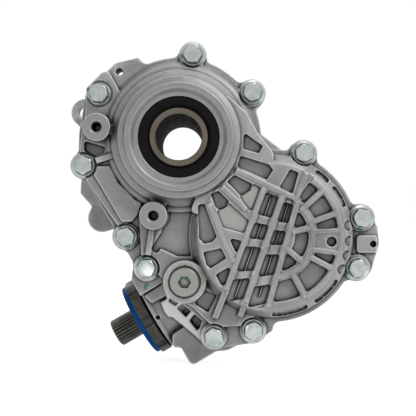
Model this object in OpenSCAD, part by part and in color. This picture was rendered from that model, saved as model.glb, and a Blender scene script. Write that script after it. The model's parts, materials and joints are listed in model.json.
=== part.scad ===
// Transfer case with an offset helical pair, a hypoid pair and a splined output.
// It is drawn looking at the cover: x right, y up, z towards the viewer, z = 0 in the joint
// of cover and case, and x = y = 0 on the input axis. place() turns this into the part's own
// frame, with the gearbox face at Y = 0 and Z up. Lengths are in millimetres.

/* [Shaft layout] */
// Transfer axis to the right of the input axis
transfer_right = 83; // [80:0.5:86]
// Transfer axis below the input axis
transfer_down = 87.7; // [85:0.1:91]
// Slope of the output nose
nose_angle = 30; // [26:1:34]
// Offset of the pinion axis from the transfer axis
pinion_offset = 10.5; // [9:0.5:12]
// Pinion axis behind the joint
pinion_depth = 41.5; // [41:0.5:42.5]
// Nose face from the point nearest the transfer axis
nose_reach = 131; // [129:1:138]
// Gearbox face behind the joint
gearbox_depth = 82; // [81:1:92]

/* [Helical gears] */
// Teeth of the input gear
input_teeth = 47; // [44:1:50]
// Teeth of the driven gear
driven_teeth = 48; // [45:1:51]
// Helix angle
helix_angle = 18; // [8:1:24]
// Face width
gear_w = 16; // [13:1:16]
// Front face of both gears in front of the joint
gear_front = 9; // [8:0.5:10]
// Play between the teeth, along the pitch circle
tooth_play = 0.4; // [0.3:0.05:0.8]
// Thickness of a gear rim inside the teeth
rim_t = 5.5; // [4.5:0.5:8]
// Thickness of a gear web
web_t = 4.5; // [3:0.5:5]

/* [Hypoid gears] */
// Teeth of the ring gear
ring_teeth = 34; // [31:1:37]
// Teeth of the pinion
pinion_teeth = 13; // [12:1:14]
// Outer radius of the ring gear
ring_r = 60; // [57:0.5:61]
// Width of the teeth, inwards from the outer radius
ring_face_w = 18; // [14:1:19]
// Spiral angle of the ring teeth at mid face
ring_spiral = 25; // [18:1:28]
// Thickness of the ring at the bolts
ring_hub_t = 11; // [9:0.5:12]
// Screws that hold the ring gear
ring_screws = 10; // [6:1:12]
// Radius of their circle
ring_screw_r = 34; // [32:0.5:36]

/* [Input shaft] */
// Bore for the half shaft
input_bore_r = 20.5; // [18:0.5:22.5]
// Journal under both seals
input_journal_r = 26; // [25:0.25:27]
// Journal under the bearings
input_bearing_r = 27.5; // [27.25:0.25:28.5]
// Front end in front of the joint
input_front = 41; // [39:0.5:42]
// Splined stretch behind the gearbox face
input_tail = 28; // [22:1:36]
// Teeth of the gearbox spline
input_spline_n = 40; // [30:1:48]

/* [Bearings] */
// Outer radius of the input bearings
input_cup_r = 45; // [43:0.5:46]
// Width of the input bearings
input_bearing_w = 15; // [14:0.5:16]
// Bore radius of the transfer bearings
transfer_cone_r = 15; // [14:0.5:16]
// Outer radius of the transfer bearings
transfer_cup_r = 31; // [29:0.5:32]
// Width of the transfer bearings
transfer_bearing_w = 14; // [12:0.5:14]
// Bore radius of the pinion bearings
pinion_cone_r = 20; // [19:0.5:21]
// Outer radius of the pinion bearings
pinion_cup_r = 34; // [33:0.5:35]
// Width of the pinion bearings
pinion_bearing_w = 19; // [17:0.5:20]
// Taper of the rollers against their axis
roller_slope = 12; // [10:1:14]

/* [Output] */
// Outer radius of the output spline
spline_r = 13.2; // [12:0.1:15]
// Length of the output spline
spline_l = 25; // [20:1:30]
// Teeth of the output spline
spline_n = 27; // [18:1:32]
// Journal under the output seal
seal_journal_r = 16; // [15.5:0.25:17]
// Outer radius of the castellated nut
nut_r = 37.5; // [36:0.5:39]
// Thickness of the castellated nut
nut_t = 9.5; // [8:0.5:11]
// Lands around the nut
nut_lands = 8; // [6:1:12]
// Outer radius of the blue seal
blue_seal_r = 35; // [33:0.5:35.5]
// Height of the blue seal in front of the nut
blue_seal_t = 5; // [4:0.5:6]

/* [Castings] */
// Thickness of the cover flange
flange_t = 14; // [12:0.5:15]
// Flange radius around the input axis
input_flange_r = 74; // [72:0.5:78]
// Flange radius around the transfer axis
dome_flange_r = 78.6; // [77:0.1:82]
// Dome radius
dome_r = 72.5; // [71:0.5:76]
// Dome height in front of the joint
dome_h = 36; // [35.5:0.5:39]
// Depth of the pockets between the ribs of the dome
pocket_d = 7; // [4:0.5:8]
// Half-shaft boss radius
boss_r = 47.7; // [46.5:0.1:50]
// Half-shaft boss height in front of the joint
boss_h = 45; // [44:0.5:48]
// Radius of the bolt bosses
bolt_boss_r = 12.7; // [12:0.1:14]
// Height of the bolt seats in front of the joint
bolt_seat = 16; // [15:0.5:18]
// Nose radius
nose_r = 39; // [38.5:0.5:41]
// Wall of the case round the gears
case_wall = 6; // [5.5:0.5:8]
// Round of inner corners in the outlines
corner_r = 7; // [4:0.5:9]

/* [Fasteners] */
// Shank radius of the cover bolts
bolt_r = 5; // [4:0.25:5]
// Shank length of the cover bolts
bolt_l = 34; // [30:1:36]
// Width across flats of the bolt heads
bolt_hex = 15; // [13:0.5:17]
// Flange radius of the bolt heads
bolt_flange_r = 11.5; // [10:0.1:11.7]
// Thread radius of the oil plugs
plug_r = 9; // [8:0.5:10]
// Core radius of the tapped bracket bosses
bracket_hole_r = 4.25; // [3.5:0.25:5]
// Depth of the tapped bracket bosses
bracket_hole_d = 22; // [16:1:26]
// Hole radius of the open gearbox ears
ear_hole_r = 6.5; // [5.5:0.25:7]
// Core radius of the tapped gearbox ears
ear_tap_r = 5.1; // [4.25:0.05:6]

/* [Hidden] */
$fn = 96;

// Gaps: a turning shaft in a seal or ring, a fixed piece in its seat, a roller in its race
run_gap = 0.05;
seat_gap = 0.02;
race_gap = 0.04;
eps = 0.5;
head_gap = 0.6;

// Shoulder behind a cup, and the room behind its cone
cup_lip = 4;
relief = 2;

transfer = [transfer_right, -transfer_down];
transfer_dir = atan2(transfer[1], transfer[0]);
axis_gap = norm(transfer);

// Helical pair
input_pitch_r = axis_gap * input_teeth / (input_teeth + driven_teeth);
driven_pitch_r = axis_gap - input_pitch_r;
gear_module = 2 * input_pitch_r / input_teeth;
gear_back = gear_front - gear_w;
tip_gap = 2;

// Input axis, front to back
input_bearing_back = 14;
input_hub_r = 36;
input_hub_back = -12;
input_rear_back = input_hub_back - input_bearing_w;
input_shim_t = 1;
seal_outer_r = 36;
half_seal_h = 9;
recess_r = 40;
recess_d = 3.5;
half_seal_front = boss_h - recess_d - 1;
gearbox_seal_t = 8;
gearbox_seal_back = -gearbox_depth + 1;
spigot_r = 50;
spigot_h = 8;
ring_section = 1.6;
journal_back = -gearbox_depth - spigot_h - 1;
edge_cut = 0.6;

// Transfer axis, front to back
transfer_bearing_back = gear_front + 1;
transfer_shim_t = 1;
ring_face = gear_back - 1;
shaft_flange_t = 6;
shaft_flange_r = 42;
driven_seat_r = 20;
ring_pilot_r = 24;
transfer_rear_front = -44;
screw_r = 4;
screw_head_r = 6.5;
screw_head_h = 5;

// Hypoid pair
ring_ratio = ring_teeth / pinion_teeth;
ring_mid_r = ring_r - ring_face_w / 2;
ring_twist = tan(ring_spiral) / ring_mid_r;
pinion_pressure = 22;
addendum = 0.56;
dedendum = 0.92;
hypoid_thin = 0.56;
stations = [for (k = [0:4]) ring_r - ring_face_w * (1 - k / 4)];
pinion_stations = concat(stations, [ring_r + 2]);
head_end_face = ring_r + eps;
head_collar_r = pinion_pitch(ring_r + 2) + addendum * tooth_module(ring_r + 2) + 0.6;

// Pinion axis, outwards from the point nearest the transfer axis
pinion_z = -pinion_depth;
tail_end = nose_reach - 7;
tail_start = tail_end - pinion_bearing_w;
head_start = 66;
head_end = head_start + pinion_bearing_w;
pinion_shim_t = 2;
nose_washer_t = 2.5;
nut_slot_w = 10.5;
nut_slot_d = 1.8;
nut_turn = -3;
nut_start = nose_reach + nose_washer_t;
nut_end = nut_start + nut_t;
seal_end = nut_end + blue_seal_t;
spline_start = seal_end + 1;
lock_nut_t = 8;
lock_nut_r = 23;
lock_slot = 5;
lock_thread_r = 18;

// Castings
input_cavity_r = input_pitch_r + gear_module + tip_gap;
dome_cavity_r = driven_pitch_r + gear_module + tip_gap + 0.5;
dome_cavity_h = dome_h - pocket_d - 6;
ring_cavity_r = dome_cavity_r;
cup_wall = 6;
case_dome_r = dome_cavity_r + case_wall;
case_neck_r = 57;
case_back = -66;
case_cavity_back = -56;
cup_boss_front = -27;
neck_start = 38;
nose_start = 30;
collar_start = 60;
tail_front = -4;
tail_back = -30;
bolts = [
    [11.9, 75.7], [65.6, 41.4], [112.4, -13.3], [164.6, -71.6], [160.6, -116.7], [66.7, -173.1],
    [31.1, -178.7], [-29.7, -116.8], [-48.5, -88.4], [-86.4, -24.1], [-72.3, 40.4]
];
bolt_end = bolt_seat - bolt_l;
bolt_play = 0.5;
bolt_head_h = 9.5;
bolt_flange_h = 2;
bolt_turn = 17;
bracket_bosses = [[-73.3, 9.3], [-22.8, -69.5]];
bracket_boss_r = 12.5;
bracket_boss_h = 35;
fill_at = [4.9, -128.5];
fill_boss_r = 19.3;
fill_boss_h = 30;
drain_at = transfer + [22, -48];
drain_boss_r = 17;
drain_boss_h = 4;
plug_head_r = 13;
plug_head_h = 4;
plug_hex = 10;
plug_hex_d = 7;
fill_plug_l = 16;
drain_plug_l = 12;
plug_washer_t = 1.5;
plug_seat_r = plug_head_r + 1.5;
plug_seat_d = 1.5;
fill_plug_seat = fill_boss_h - plug_seat_d + plug_washer_t;
drain_seat = case_back - drain_boss_h - plug_washer_t;
breather_z = -52;
breather_r = 4;
breather_pad_r = 8;
breather_bore_r = 1.2;
tab_hole = [-54.6, 61];
tab_hole_r = 3.2;
ear_hole = [175.1, -95.2];
ear_pilot_r = 3;
ear_pilot_d = 8;
ear_pad_h = 3;
face_hole = [52.2, -4.7];
face_hole_r = 4.4;
lead_in = 1.8;
dowel_r = 3;
dowel_l = 16;
dowels = [
    (input_flange_r + input_cavity_r) / 2 * [cos(60), sin(60)],
    transfer + (dome_flange_r + dome_cavity_r) / 2 * [cos(-50), sin(-50)]
];
open_ears = [[-96, 32], [-79.5, -72.6]];
tapped_ears = [[46, 50], [88, -14]];
ear_r = 14;
ear_t = 12;

function polar(r, a) = [r * cos(a), r * sin(a)];

// Angle of an involute at radius r, in degrees, for base radius base
function involute_angle(r, base) =
    let(a = acos(min(1, base / r))) tan(a) * 180 / PI - a;

// Half the angle that a tooth spans at radius r
function tooth_half(n, pitch, r, pressure, thin) =
    let(base = pitch * cos(pressure))
    90 / n * thin + involute_angle(pitch, base) - involute_angle(max(r, base), base);

// Outline of a gear with n teeth, the first tooth centred on angle 0
function gear_outline(n, pitch, tip, root, pressure, thin) = [
    for (i = [0:n - 1]) each concat(
        [for (k = [0:3]) let(r = root + (tip - root) * k / 3)
            polar(r, 360 / n * i - tooth_half(n, pitch, r, pressure, thin))],
        [for (k = [3:-1:0]) let(r = root + (tip - root) * k / 3)
            polar(r, 360 / n * i + tooth_half(n, pitch, r, pressure, thin))])
];

// Outline of a straight spline with n teeth
function spline_outline(n, tip, root) = [
    for (i = [0:n - 1], k = [0:3])
        polar(k == 0 || k == 3 ? root : tip, 360 / n * (i + [0.08, 0.3, 0.62, 0.84][k]))
];

// Along the pinion axis: distance s where the ring radius r crosses it, and the pinion's
// pitch radius there, at which its surface keeps up with the turning ring
function along(r) = sqrt(r * r - pinion_offset * pinion_offset);
function pinion_pitch(r) =
    1 / ring_ratio / (along(r) / (r * r) - ring_twist * pinion_offset / r);
function ring_tooth_dir(r) = ring_twist * 180 / PI * (r - ring_mid_r);
function pinion_space_dir(r) = ring_ratio * (atan(pinion_offset / along(r)) - ring_tooth_dir(r));
function tooth_module(r) = 2 * pinion_pitch(r) / pinion_teeth;

module place() translate([0, -gearbox_depth, 0]) rotate([90, 0, 0]) children();
module at_transfer() place() translate(transfer) children();
module on_pinion_line()
    translate([transfer[0] + pinion_offset * sin(nose_angle),
               transfer[1] - pinion_offset * cos(nose_angle), pinion_z])
    rotate([90, 0, nose_angle - 90]) children();
module at_pinion() place() on_pinion_line() children();

module tube(r_out, r_in, z0, z1) {
    translate([0, 0, z0]) difference() {
        cylinder(r = r_out, h = z1 - z0);
        translate([0, 0, -eps]) cylinder(r = r_in, h = z1 - z0 + 2 * eps);
    }
}

module hole(r, z0, z1) translate([0, 0, z0]) cylinder(r = r, h = z1 - z0);

module bar(a, b, w) {
    d = b - a;
    translate(a) rotate(atan2(d[1], d[0])) translate([0, -w / 2]) square([norm(d), w]);
}

// Cup, cone and rollers of a taper bearing; the rollers lean outwards with height
function roller_rad(ri, ro) = (ro - ri) * 0.215;
function race_r(ri, ro, w, z, side) =
    (ri + ro) / 2 + side * (roller_rad(ri, ro) + race_gap) / cos(roller_slope)
    + (z - w / 2) * tan(roller_slope + side * 1.5);

module bearing_cup(ri, ro, w) rotate_extrude() polygon([
    [race_r(ri, ro, w, 0, 1), 0], [ro, 0], [ro, w], [race_r(ri, ro, w, w, 1), w]
]);

module bearing_cone(ri, ro, w) {
    rib = w - 1.4;
    rotate_extrude() polygon([
        [ri + seat_gap, 0], [race_r(ri, ro, w, 0, -1), 0], [race_r(ri, ro, w, rib, -1), rib],
        [race_r(ri, ro, w, rib, -1) + 1.6, rib], [race_r(ri, ro, w, rib, -1) + 1.6, w],
        [ri + seat_gap, w]
    ]);
}

module bearing_rollers(ri, ro, w) {
    rad = roller_rad(ri, ro);
    half = 0.33 * w;
    mid = (ri + ro) / 2;
    count = floor(2 * PI * mid / (2.7 * rad));
    for (i = [0:count - 1]) rotate(360 / count * i) translate([mid, 0, w / 2])
        rotate([0, roller_slope, 0])
        cylinder(r1 = rad - half * tan(1.5), r2 = rad + half * tan(1.5), h = 2 * half, center = true);
    rotate_extrude() translate([mid, w / 2]) rotate(-roller_slope) {
        translate([-0.8, half - 0.6]) square([1.6, 1.8]);
        translate([-0.8, -half - 1.2]) square([1.6, 1.8]);
    }
}

// Shelf beside the nose, between its face and a lower bolt
nose_shelf = [
    bolts[7] + [-12.5, 0], [-44, -127], [-40, -134.5], [-33.5, -146], [-10, -132],
    bolts[7] + [12, 0]
];

// Straight stretches of the joint's outline: left with the tab, right with the ear, below
left_edge = [
    [-31, 66], [-37, 74], [-58, 69], [-65, 62], [-84, 47], [-91, 7], [-92, -32], [-80, -46],
    [-60, -80], bolts[7] + [-8, -4], bolts[6] + [-9, -8], bolts[5], transfer, [0, 0]
];
ear_edge = [
    bolts[2], bolts[3], ear_hole + [4.5, 16], ear_hole + [6, 0], ear_hole + [-1, -24], bolts[4],
    transfer
];
lower_edge = [bolts[6] + [0, -12], bolts[5] + [0, -12], bolts[5] + [18, -1], transfer];

// Outline of cover and case in the joint
module joint_outline() {
    offset(r = -corner_r) offset(r = corner_r) {
        circle(r = input_flange_r);
        translate(transfer) circle(r = dome_flange_r);
        for (p = bolts) translate(p) circle(r = bolt_boss_r, $fn = 48);
        for (edge = [left_edge, ear_edge, lower_edge, nose_shelf]) polygon(edge);
    }
}

// Ribs and pockets of the dome, from the transfer axis. Three long ribs fan out downwards, and
// cells lie in the two lanes between them, given as shares of the ribs' length.
rib_w = 5.3;
long_ribs = [[[-7.5, 42.8], [-51.4, -74.7]], [[8.7, 35.9], [-29, -73.2]], [[22.3, 31.3], [-6.2, -71]]];
lane_cells = [
    [[0.02, 0.19], [0.25, 0.37], [0.43, 0.62], [0.68, 0.85]],
    [[0.04, 0.20], [0.27, 0.39], [0.47, 0.65], [0.73, 0.90]]
];
// Fans of pockets: inner and outer radius, first and last direction, then the spokes between
// them as direction and width
fans = [
    [20, 32, -88, 45, [[13, 6], [-41, 6]]],
    [40, 58, -91, 56, [[42.5, 6], [20, 5.5], [-6, 17], [-28.5, 5.5], [-61.5, 6]]]
];
// Single pockets left of the long ribs and in the bridge to the half-shaft boss
deep_pockets = [
    [[-34, 54.5], [-18, 46.5], [-19.5, 41], [-28, 35.5], [-40.5, 48.5]],
    [[-28.5, 71.5], [-3, 63.5], [0.4, 58.7], [-5.3, 50], [-31.5, 62]],
    [[-25.5, 92], [-8.5, 80], [-12, 73.5], [-26, 77.5]],
    [[-55, 37.5], [-48, 40.5], [-38.5, 31], [-41, 26], [-46.5, 23], [-50.5, 26]],
    [[-66, 28], [-60.5, 29], [-49.5, -0.5], [-53.5, -5], [-61, -6.5], [-65, -2]],
    [[-61.5, -14], [-45.5, -10.5], [-41, -19.5], [-55, -28.5], [-58.5, -25.5]],
    [[-50.5, -34], [-36.5, -26], [-41.5, -42.5], [-45, -44]],
    [[-38.5, -1.5], [-27, -4], [-31.5, -16.5]],
    [[6, 43.5], [15.5, 59.5], [23, 56.5], [17.5, 37.5]]
];
flat_pockets = [
    [[-17, 46.5], [-10.5, 43.5], [-18, 23], [-20.5, 23], [-29, 35]],
    [[-49.5, 22], [-38, 29.5], [-21, 14], [-24, 4.5], [-26, 3], [-44, 8]]
];
flat_pocket_d = 2.5;
// Slots along the rim of the dome, first and last direction
rim_slots = [[22, 39], [44, 56], [-90, -63], [-57, -34]];
rim_slot_r = 69.8;
rim_slot_w = 4.8;
rim_floor = 3;
// Round pockets in the dome's shoulder, by direction
shoulder_pockets = [8, -3.5, -14.5, -25.5];
shoulder_pocket_r = 4.6;
shoulder_pocket_d = 10;
// Where the dome's face ends, the slope of its shoulder, and the ends of the long ribs on it
face_r = 64.5;
shoulder_h = 24;
rib_end_h = 26;
// Cells stand off the ribs, the cross bars between them lie lower along a narrower strip, and
// a thin ridge runs along each lane
cell_inset = 0.3;
cell_round = 1.6;
lane_drop = 1.8;
strip_inset = 1;
lane_strip = [[0.005, 0.93]];
ridge_w = 1.2;
ridge_h = 2.5;
ridge_ends = [0.04, 0.83];
// The fans leave this much room left of the long ribs
fan_room = [9, 0];

function between(a, b, t) = a + (b - a) * t;
function unit(v) = v / norm(v);

module sector(r0, r1, a0, a1) {
    steps = ceil((a1 - a0) / 6);
    polygon(concat(
        [for (k = [0:steps]) polar(r1, a0 + (a1 - a0) * k / steps)],
        [for (k = [steps:-1:0]) polar(r0, a0 + (a1 - a0) * k / steps)]));
}

module rounded(r) offset(r = r, $fn = 20) offset(delta = -r) children();

module lanes(cells, inset) for (k = [0:1])
    lane(long_ribs[k], long_ribs[k + 1], cells[k], inset);

module lane(left, right, cells, inset) {
    across = unit(right[0] - left[0]) * (rib_w / 2 + inset);
    for (c = cells) polygon([
        between(left[0], left[1], c[0]) + across, between(right[0], right[1], c[0]) - across,
        between(right[0], right[1], c[1]) - across, between(left[0], left[1], c[1]) + across
    ]);
}

module cell_ridges() {
    translate(transfer) translate([0, 0, dome_h - pocket_d - 1]) linear_extrude(ridge_h + 1)
        for (k = [0:1]) let(middle = (long_ribs[k] + long_ribs[k + 1]) / 2)
        bar(between(middle[0], middle[1], ridge_ends[0]),
            between(middle[0], middle[1], ridge_ends[1]), ridge_w);
}

module dome_cells() {
    lanes(lane_cells, cell_inset);
    for (f = fans) difference() {
        sector(f[0], f[1], f[2], f[3]);
        for (s = f[4]) bar(polar(f[0] - rib_w, s[0]), polar(f[1] + rib_w, s[0]), s[1]);
        offset(delta = rib_w / 2) polygon([
            long_ribs[2][0], long_ribs[2][1], long_ribs[0][1] - fan_room, long_ribs[0][0] - fan_room
        ]);
    }
    for (p = deep_pockets) polygon(p);
}

// Walls, steps and plateaus of the cover left of and below the two bosses, with their heights
left_plateau = [[-88, 8], [-58, 22], [-54, -20], [-34, -56], [-52, -84], [-84, -38], [-92, -26]];
left_plateau_h = 19;
tab_plateau = [[-64, 61], [-53, 41], [-59, 31], [-62, 18], [-86, 14], [-84, 46], [-70, 60]];
tab_plateau_h = 17.5;
low_plateau = [
    [-28, -58], [-36, -74], [-34, -108], [-13, -128], [-8, -141], [12, -152], [31, -170],
    [66, -168], transfer, [0, -40]
];
low_plateau_h = 22;
bridge = [[40, 40], [60, 22], [70, 4], [84, -14], transfer, [10, -66], [20, -40]];
bare_pad = [[-75, -25], [-55, -24], [-30, -50], [-37.5, -69], [-43, -75], [-52, -75], [-77, -33]];
bare_pad_in_r = 68;
bare_pad_h = 21.5;
left_pocket = [[-86, -2], [-67, -7.5], [-68, -13], [-76.5, -17], [-86, -11]];
left_pocket_d = 4;
low_recess = [
    [-10, -60], [12, -62], [22, -96], [10, -106], [-2, -106], [-17, -99], [-20, -104],
    [-26, -100], [-16, -84]
];
low_recess_h = 15;
plateau_pocket = [[13.5, -148.5], [23.5, -136.5], [34, -141], [26, -157]];
plateau_pocket_d = 5;
// Edge of the cover between two lower bolts, which leaves the case's joint face bare
web_opening = [
    [-60, -158], [-35.5, -142.3], [-15.5, -130], [-8, -142.5], [-1, -147.5], [3, -150],
    [20.5, -164.5], [18.5, -172], [17, -200], [-40, -200]
];

// A long rib leaves the dome's face and runs down its shoulder to the plateau below
function leaves_at(a, b, r) = let(t = a * unit(b - a)) sqrt(r * r - a * a + t * t) - t;

module rib_tail(a, b) {
    start = leaves_at(a, b, face_r);
    reach = norm(b - a);
    translate([a[0], a[1], 0]) rotate([90, 0, atan2(b[1] - a[1], b[0] - a[0])])
        translate([0, 0, -rib_w / 2]) linear_extrude(rib_w) polygon([
            [start - rib_w, flange_t], [reach, flange_t], [reach, rib_end_h - 3],
            [reach - 2, rib_end_h], [start, dome_h - 0.3], [start - rib_w, dome_h - 1.5]
        ]);
}

// Steps from the flange up to the half-shaft boss, as radius and height
boss_steps = [[66, 20.5], [62, 22], [61, 28], [55.5, 33], [54, 39.5], [boss_r + 1, 42.5]];
// Arms that carry the bracket bosses, and low ribs on the plateaus: start, end and width
bracket_arms = [[bracket_bosses[0], [-48, 6], 9], [bracket_bosses[1], [-14, -46], 14]];
arm_drop = 6;
low_rib_h = low_plateau_h + 3;
left_rib_h = left_plateau_h + 4;

module cover_body() {
    linear_extrude(flange_t) joint_outline();
    for (p = bolts) translate(p) hole(bolt_boss_r - 0.4, 0, bolt_seat);
    rotate_extrude() polygon(concat(
        [[0, 0], [input_flange_r - 3, 0], [input_flange_r - 3, flange_t]], boss_steps,
        [[boss_r, boss_h], [0, boss_h]]));
    translate(transfer) rotate_extrude() polygon([
        [0, 0], [dome_r + 2.5, 0], [dome_r + 2, flange_t], [dome_r, shoulder_h],
        [face_r + 2.5, dome_h - 2], [face_r, dome_h], [0, dome_h]
    ]);
    linear_extrude(left_plateau_h) rounded(3) polygon(left_plateau);
    linear_extrude(tab_plateau_h) rounded(2) polygon(tab_plateau);
    linear_extrude(low_plateau_h) rounded(3) polygon(low_plateau);
    linear_extrude(dome_h - 1) rounded(4) polygon(bridge);
    linear_extrude(bare_pad_h) rounded(2) difference() {
        polygon(bare_pad);
        circle(r = bare_pad_in_r);
    }
    for (p = bracket_bosses) translate(p) hole(bracket_boss_r, 0, bracket_boss_h);
    linear_extrude(bracket_boss_h - arm_drop) for (arm = bracket_arms) bar(arm[0], arm[1], arm[2]);
    linear_extrude(low_rib_h) bar(bracket_bosses[1], bolts[7], rib_w);
    linear_extrude(left_rib_h) bar(bolts[9], [-56, -14], rib_w);
    translate(fill_at) hole(fill_boss_r, 0, fill_boss_h);
    translate(transfer) for (rib = long_ribs) rib_tail(rib[0], rib[1]);
    linear_extrude(flange_t + ear_pad_h) translate(ear_hole - [15, 8]) rounded(3) square([19, 16]);
}

module cover_cavity() {
    hole(input_cavity_r, -eps, gear_front + 1);
    translate(transfer) difference() {
        hole(dome_cavity_r, -eps, dome_cavity_h);
        hole(transfer_cup_r + cup_wall, transfer_bearing_back, dome_h);
    }
    hole(input_cup_r, 0, input_bearing_back + input_bearing_w + input_shim_t);
    hole(input_journal_r + 6, 0, half_seal_front);
    hole(seal_outer_r, half_seal_front - half_seal_h, boss_h + eps);
    rotate_extrude() polygon([
        [0, boss_h - recess_d], [recess_r, boss_h - recess_d], [recess_r + recess_d, boss_h + eps],
        [0, boss_h + eps]
    ]);
    translate(transfer)
        hole(transfer_cup_r, 0, transfer_bearing_back + transfer_bearing_w + transfer_shim_t);
}

module cover_casting() difference() {
    cover_body();
    cover_cavity();
    translate([0, 0, -eps]) linear_extrude(dome_h) difference() {
        polygon(web_opening);
        for (k = [6, 7]) translate(bolts[k]) circle(r = bolt_boss_r);
        translate(fill_at) circle(r = fill_boss_r);
    }
    translate([0, 0, low_plateau_h - plateau_pocket_d]) linear_extrude(dome_h)
        rounded(2) polygon(plateau_pocket);
    translate([0, 0, dome_h - pocket_d]) linear_extrude(pocket_d + eps)
        translate(transfer) rounded(cell_round) dome_cells();
    translate(transfer) translate([0, 0, dome_h - lane_drop]) linear_extrude(pocket_d)
        rounded(1) lanes([lane_strip, lane_strip], strip_inset);
    for (a = shoulder_pockets) translate(transfer + polar(face_r + shoulder_pocket_r - 0.5, a))
        hole(shoulder_pocket_r, dome_h - shoulder_pocket_d, dome_h + eps);
    translate([0, 0, dome_h - flat_pocket_d]) linear_extrude(pocket_d) translate(transfer)
        rounded(cell_round) for (p = flat_pockets) polygon(p);
    translate([0, 0, flange_t + rim_floor]) linear_extrude(dome_h) translate(transfer) rounded(2)
        for (s = rim_slots)
        sector(rim_slot_r - rim_slot_w / 2, rim_slot_r + rim_slot_w / 2, s[0], s[1]);
    translate(transfer + face_hole) hole(face_hole_r, dome_h - pocket_d, dome_h + eps);
    translate([0, 0, flange_t - left_pocket_d]) linear_extrude(dome_h) rounded(2) polygon(left_pocket);
    translate([0, 0, low_recess_h]) linear_extrude(dome_h) difference() {
        rounded(3) polygon(low_recess);
        circle(r = input_cavity_r + 2);
        translate(transfer) circle(r = dome_r + 2);
        translate(fill_at) circle(r = fill_boss_r + 1);
        translate(bracket_bosses[1]) circle(r = bracket_boss_r + 1);
    }
    for (p = bolts) translate(p) {
        hole(bolt_r + bolt_play, -eps, bolt_seat + eps);
        hole(bolt_flange_r + head_gap, bolt_seat, boss_h);
    }
    for (p = dowels) translate(p) hole(dowel_r + seat_gap, -eps, dowel_l / 2 + 1);
    for (p = bracket_bosses) translate(p) {
        hole(bracket_hole_r, bracket_boss_h - bracket_hole_d, bracket_boss_h + eps);
        translate([0, 0, bracket_boss_h - lead_in + 0.4])
            cylinder(r1 = bracket_hole_r, r2 = bracket_hole_r + lead_in, h = lead_in);
    }
    translate(fill_at) {
        hole(plug_r + seat_gap, -eps, fill_boss_h + eps);
        hole(plug_seat_r, fill_boss_h - plug_seat_d, fill_boss_h + eps);
    }
    translate(tab_hole) hole(tab_hole_r, -eps, flange_t + eps);
    translate(ear_hole) hole(ear_pilot_r, flange_t - ear_pilot_d, flange_t + ear_pad_h + eps);
}

module front_cover() color("#b4b6b6") place() {
    cover_casting();
    cell_ridges();
}

// Part of the case that the cover leaves bare: the machined web between two lower bolts
bare_web = [
    [-15.5, -130], [-12, -146], [-18, -149.5], [-14.5, -158.5], [-11, -163], [-7, -163.5],
    [1, -169.8], [14, -180.5], bolts[6] + [-9, -10], bolts[6] + [0, 8]
];
web_pockets = [
    [[-10.5, -148], [-8, -145], [-1, -149.5], [-4.5, -152.5]],
    [[-2.5, -154.5], [2.5, -151], [10.5, -157], [5.5, -163]],
    [[9, -166.5], [13.5, -160.5], [22, -168], [16, -175.5]]
];
web_pocket_d = 9;
// Pads on the nose beside that face, with their tops behind the joint
nose_pads = [
    [[-33.5, -143.5], [-15, -131.5], [-9, -141.5], [-26, -150.5]],
    [[-26, -160.2], [-24.3, -156.9], [-15.8, -151.6], [-8, -163.5], [-12, -166], [-20.5, -168.5]]
];
nose_pad_tops = [-0.8, -4];
pad_hole = [-20.6, -163.6];
pad_hole_r = 2;
pad_hole_d = 7;
nose_rim_w = 3.5;

module case_outline() {
    difference() {
        joint_outline();
        difference() {
            polygon(web_opening);
            for (k = [6, 7]) translate(bolts[k]) circle(r = bolt_boss_r);
            translate(fill_at) circle(r = fill_boss_r);
        }
    }
    rounded(1) polygon(bare_web);
}

module gearbox_flange() {
    for (p = concat(open_ears, tapped_ears)) hull() {
        circle(r = case_neck_r);
        translate(p) circle(r = ear_r, $fn = 48);
    }
    polygon([[-20, 50], open_ears[0], [-101, -48], open_ears[1], [10, -50]]);
}

module case_body() {
    translate([0, 0, -flange_t]) linear_extrude(flange_t) case_outline();
    for (p = bolts) translate(p) hole(bolt_boss_r - 0.8, bolt_end - 6, 0);
    rotate_extrude() polygon([
        [0, 0], [input_flange_r - 2, 0], [input_flange_r - 3, -flange_t], [case_neck_r + 12, -24],
        [case_neck_r, -36], [case_neck_r, -gearbox_depth], [0, -gearbox_depth]
    ]);
    translate(transfer) rotate_extrude() polygon([
        [0, 0], [case_dome_r + 2, 0], [case_dome_r, -flange_t], [case_dome_r - 1, case_back + 10],
        [case_dome_r - 10, case_back], [0, case_back]
    ]);
    translate([0, 0, -gearbox_depth]) linear_extrude(ear_t) gearbox_flange();
    hole(spigot_r, -gearbox_depth - spigot_h, -gearbox_depth + eps);
    on_pinion_line() {
        rotate_extrude() polygon([
            [0, nose_start], [nose_r, nose_start], [nose_r, nose_reach - nose_rim_w - 1],
            [nose_r + 0.8, nose_reach - nose_rim_w], [nose_r + 0.8, nose_reach - 0.5],
            [nose_r + 0.3, nose_reach], [0, nose_reach]
        ]);
        translate([0, 0, collar_start]) rotate_extrude() polygon([
            [0, 0], [nose_r + 1, 0], [nose_r + 1, 12], [nose_r - 0.5, 26], [0, 26]
        ]);
    }
    translate([0, 0, tail_back]) linear_extrude(tail_front - tail_back) tail_outline();
    for (k = [0:1]) translate([0, 0, pinion_z]) linear_extrude(nose_pad_tops[k] - pinion_z)
        rounded(1.5) polygon(nose_pads[k]);
    translate(drain_at) hole(drain_boss_r, case_back - drain_boss_h, case_back + 12);
    translate([0, case_neck_r - 2, breather_z]) rotate([-90, 0, 0])
        cylinder(r = breather_pad_r, h = 8);
}

// Lug below the nose, which shows under the lowest cover bolt
module tail_outline() offset(r = 3, $fn = 32) offset(delta = -3)
    polygon([
        [-7, -180], [-7, -192], [0.5, -192], [9, -206], [13, -207.5], [33.5, -195.5], [44, -194.5],
        [57, -188], [50, -168], [10, -168]
    ]);

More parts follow.
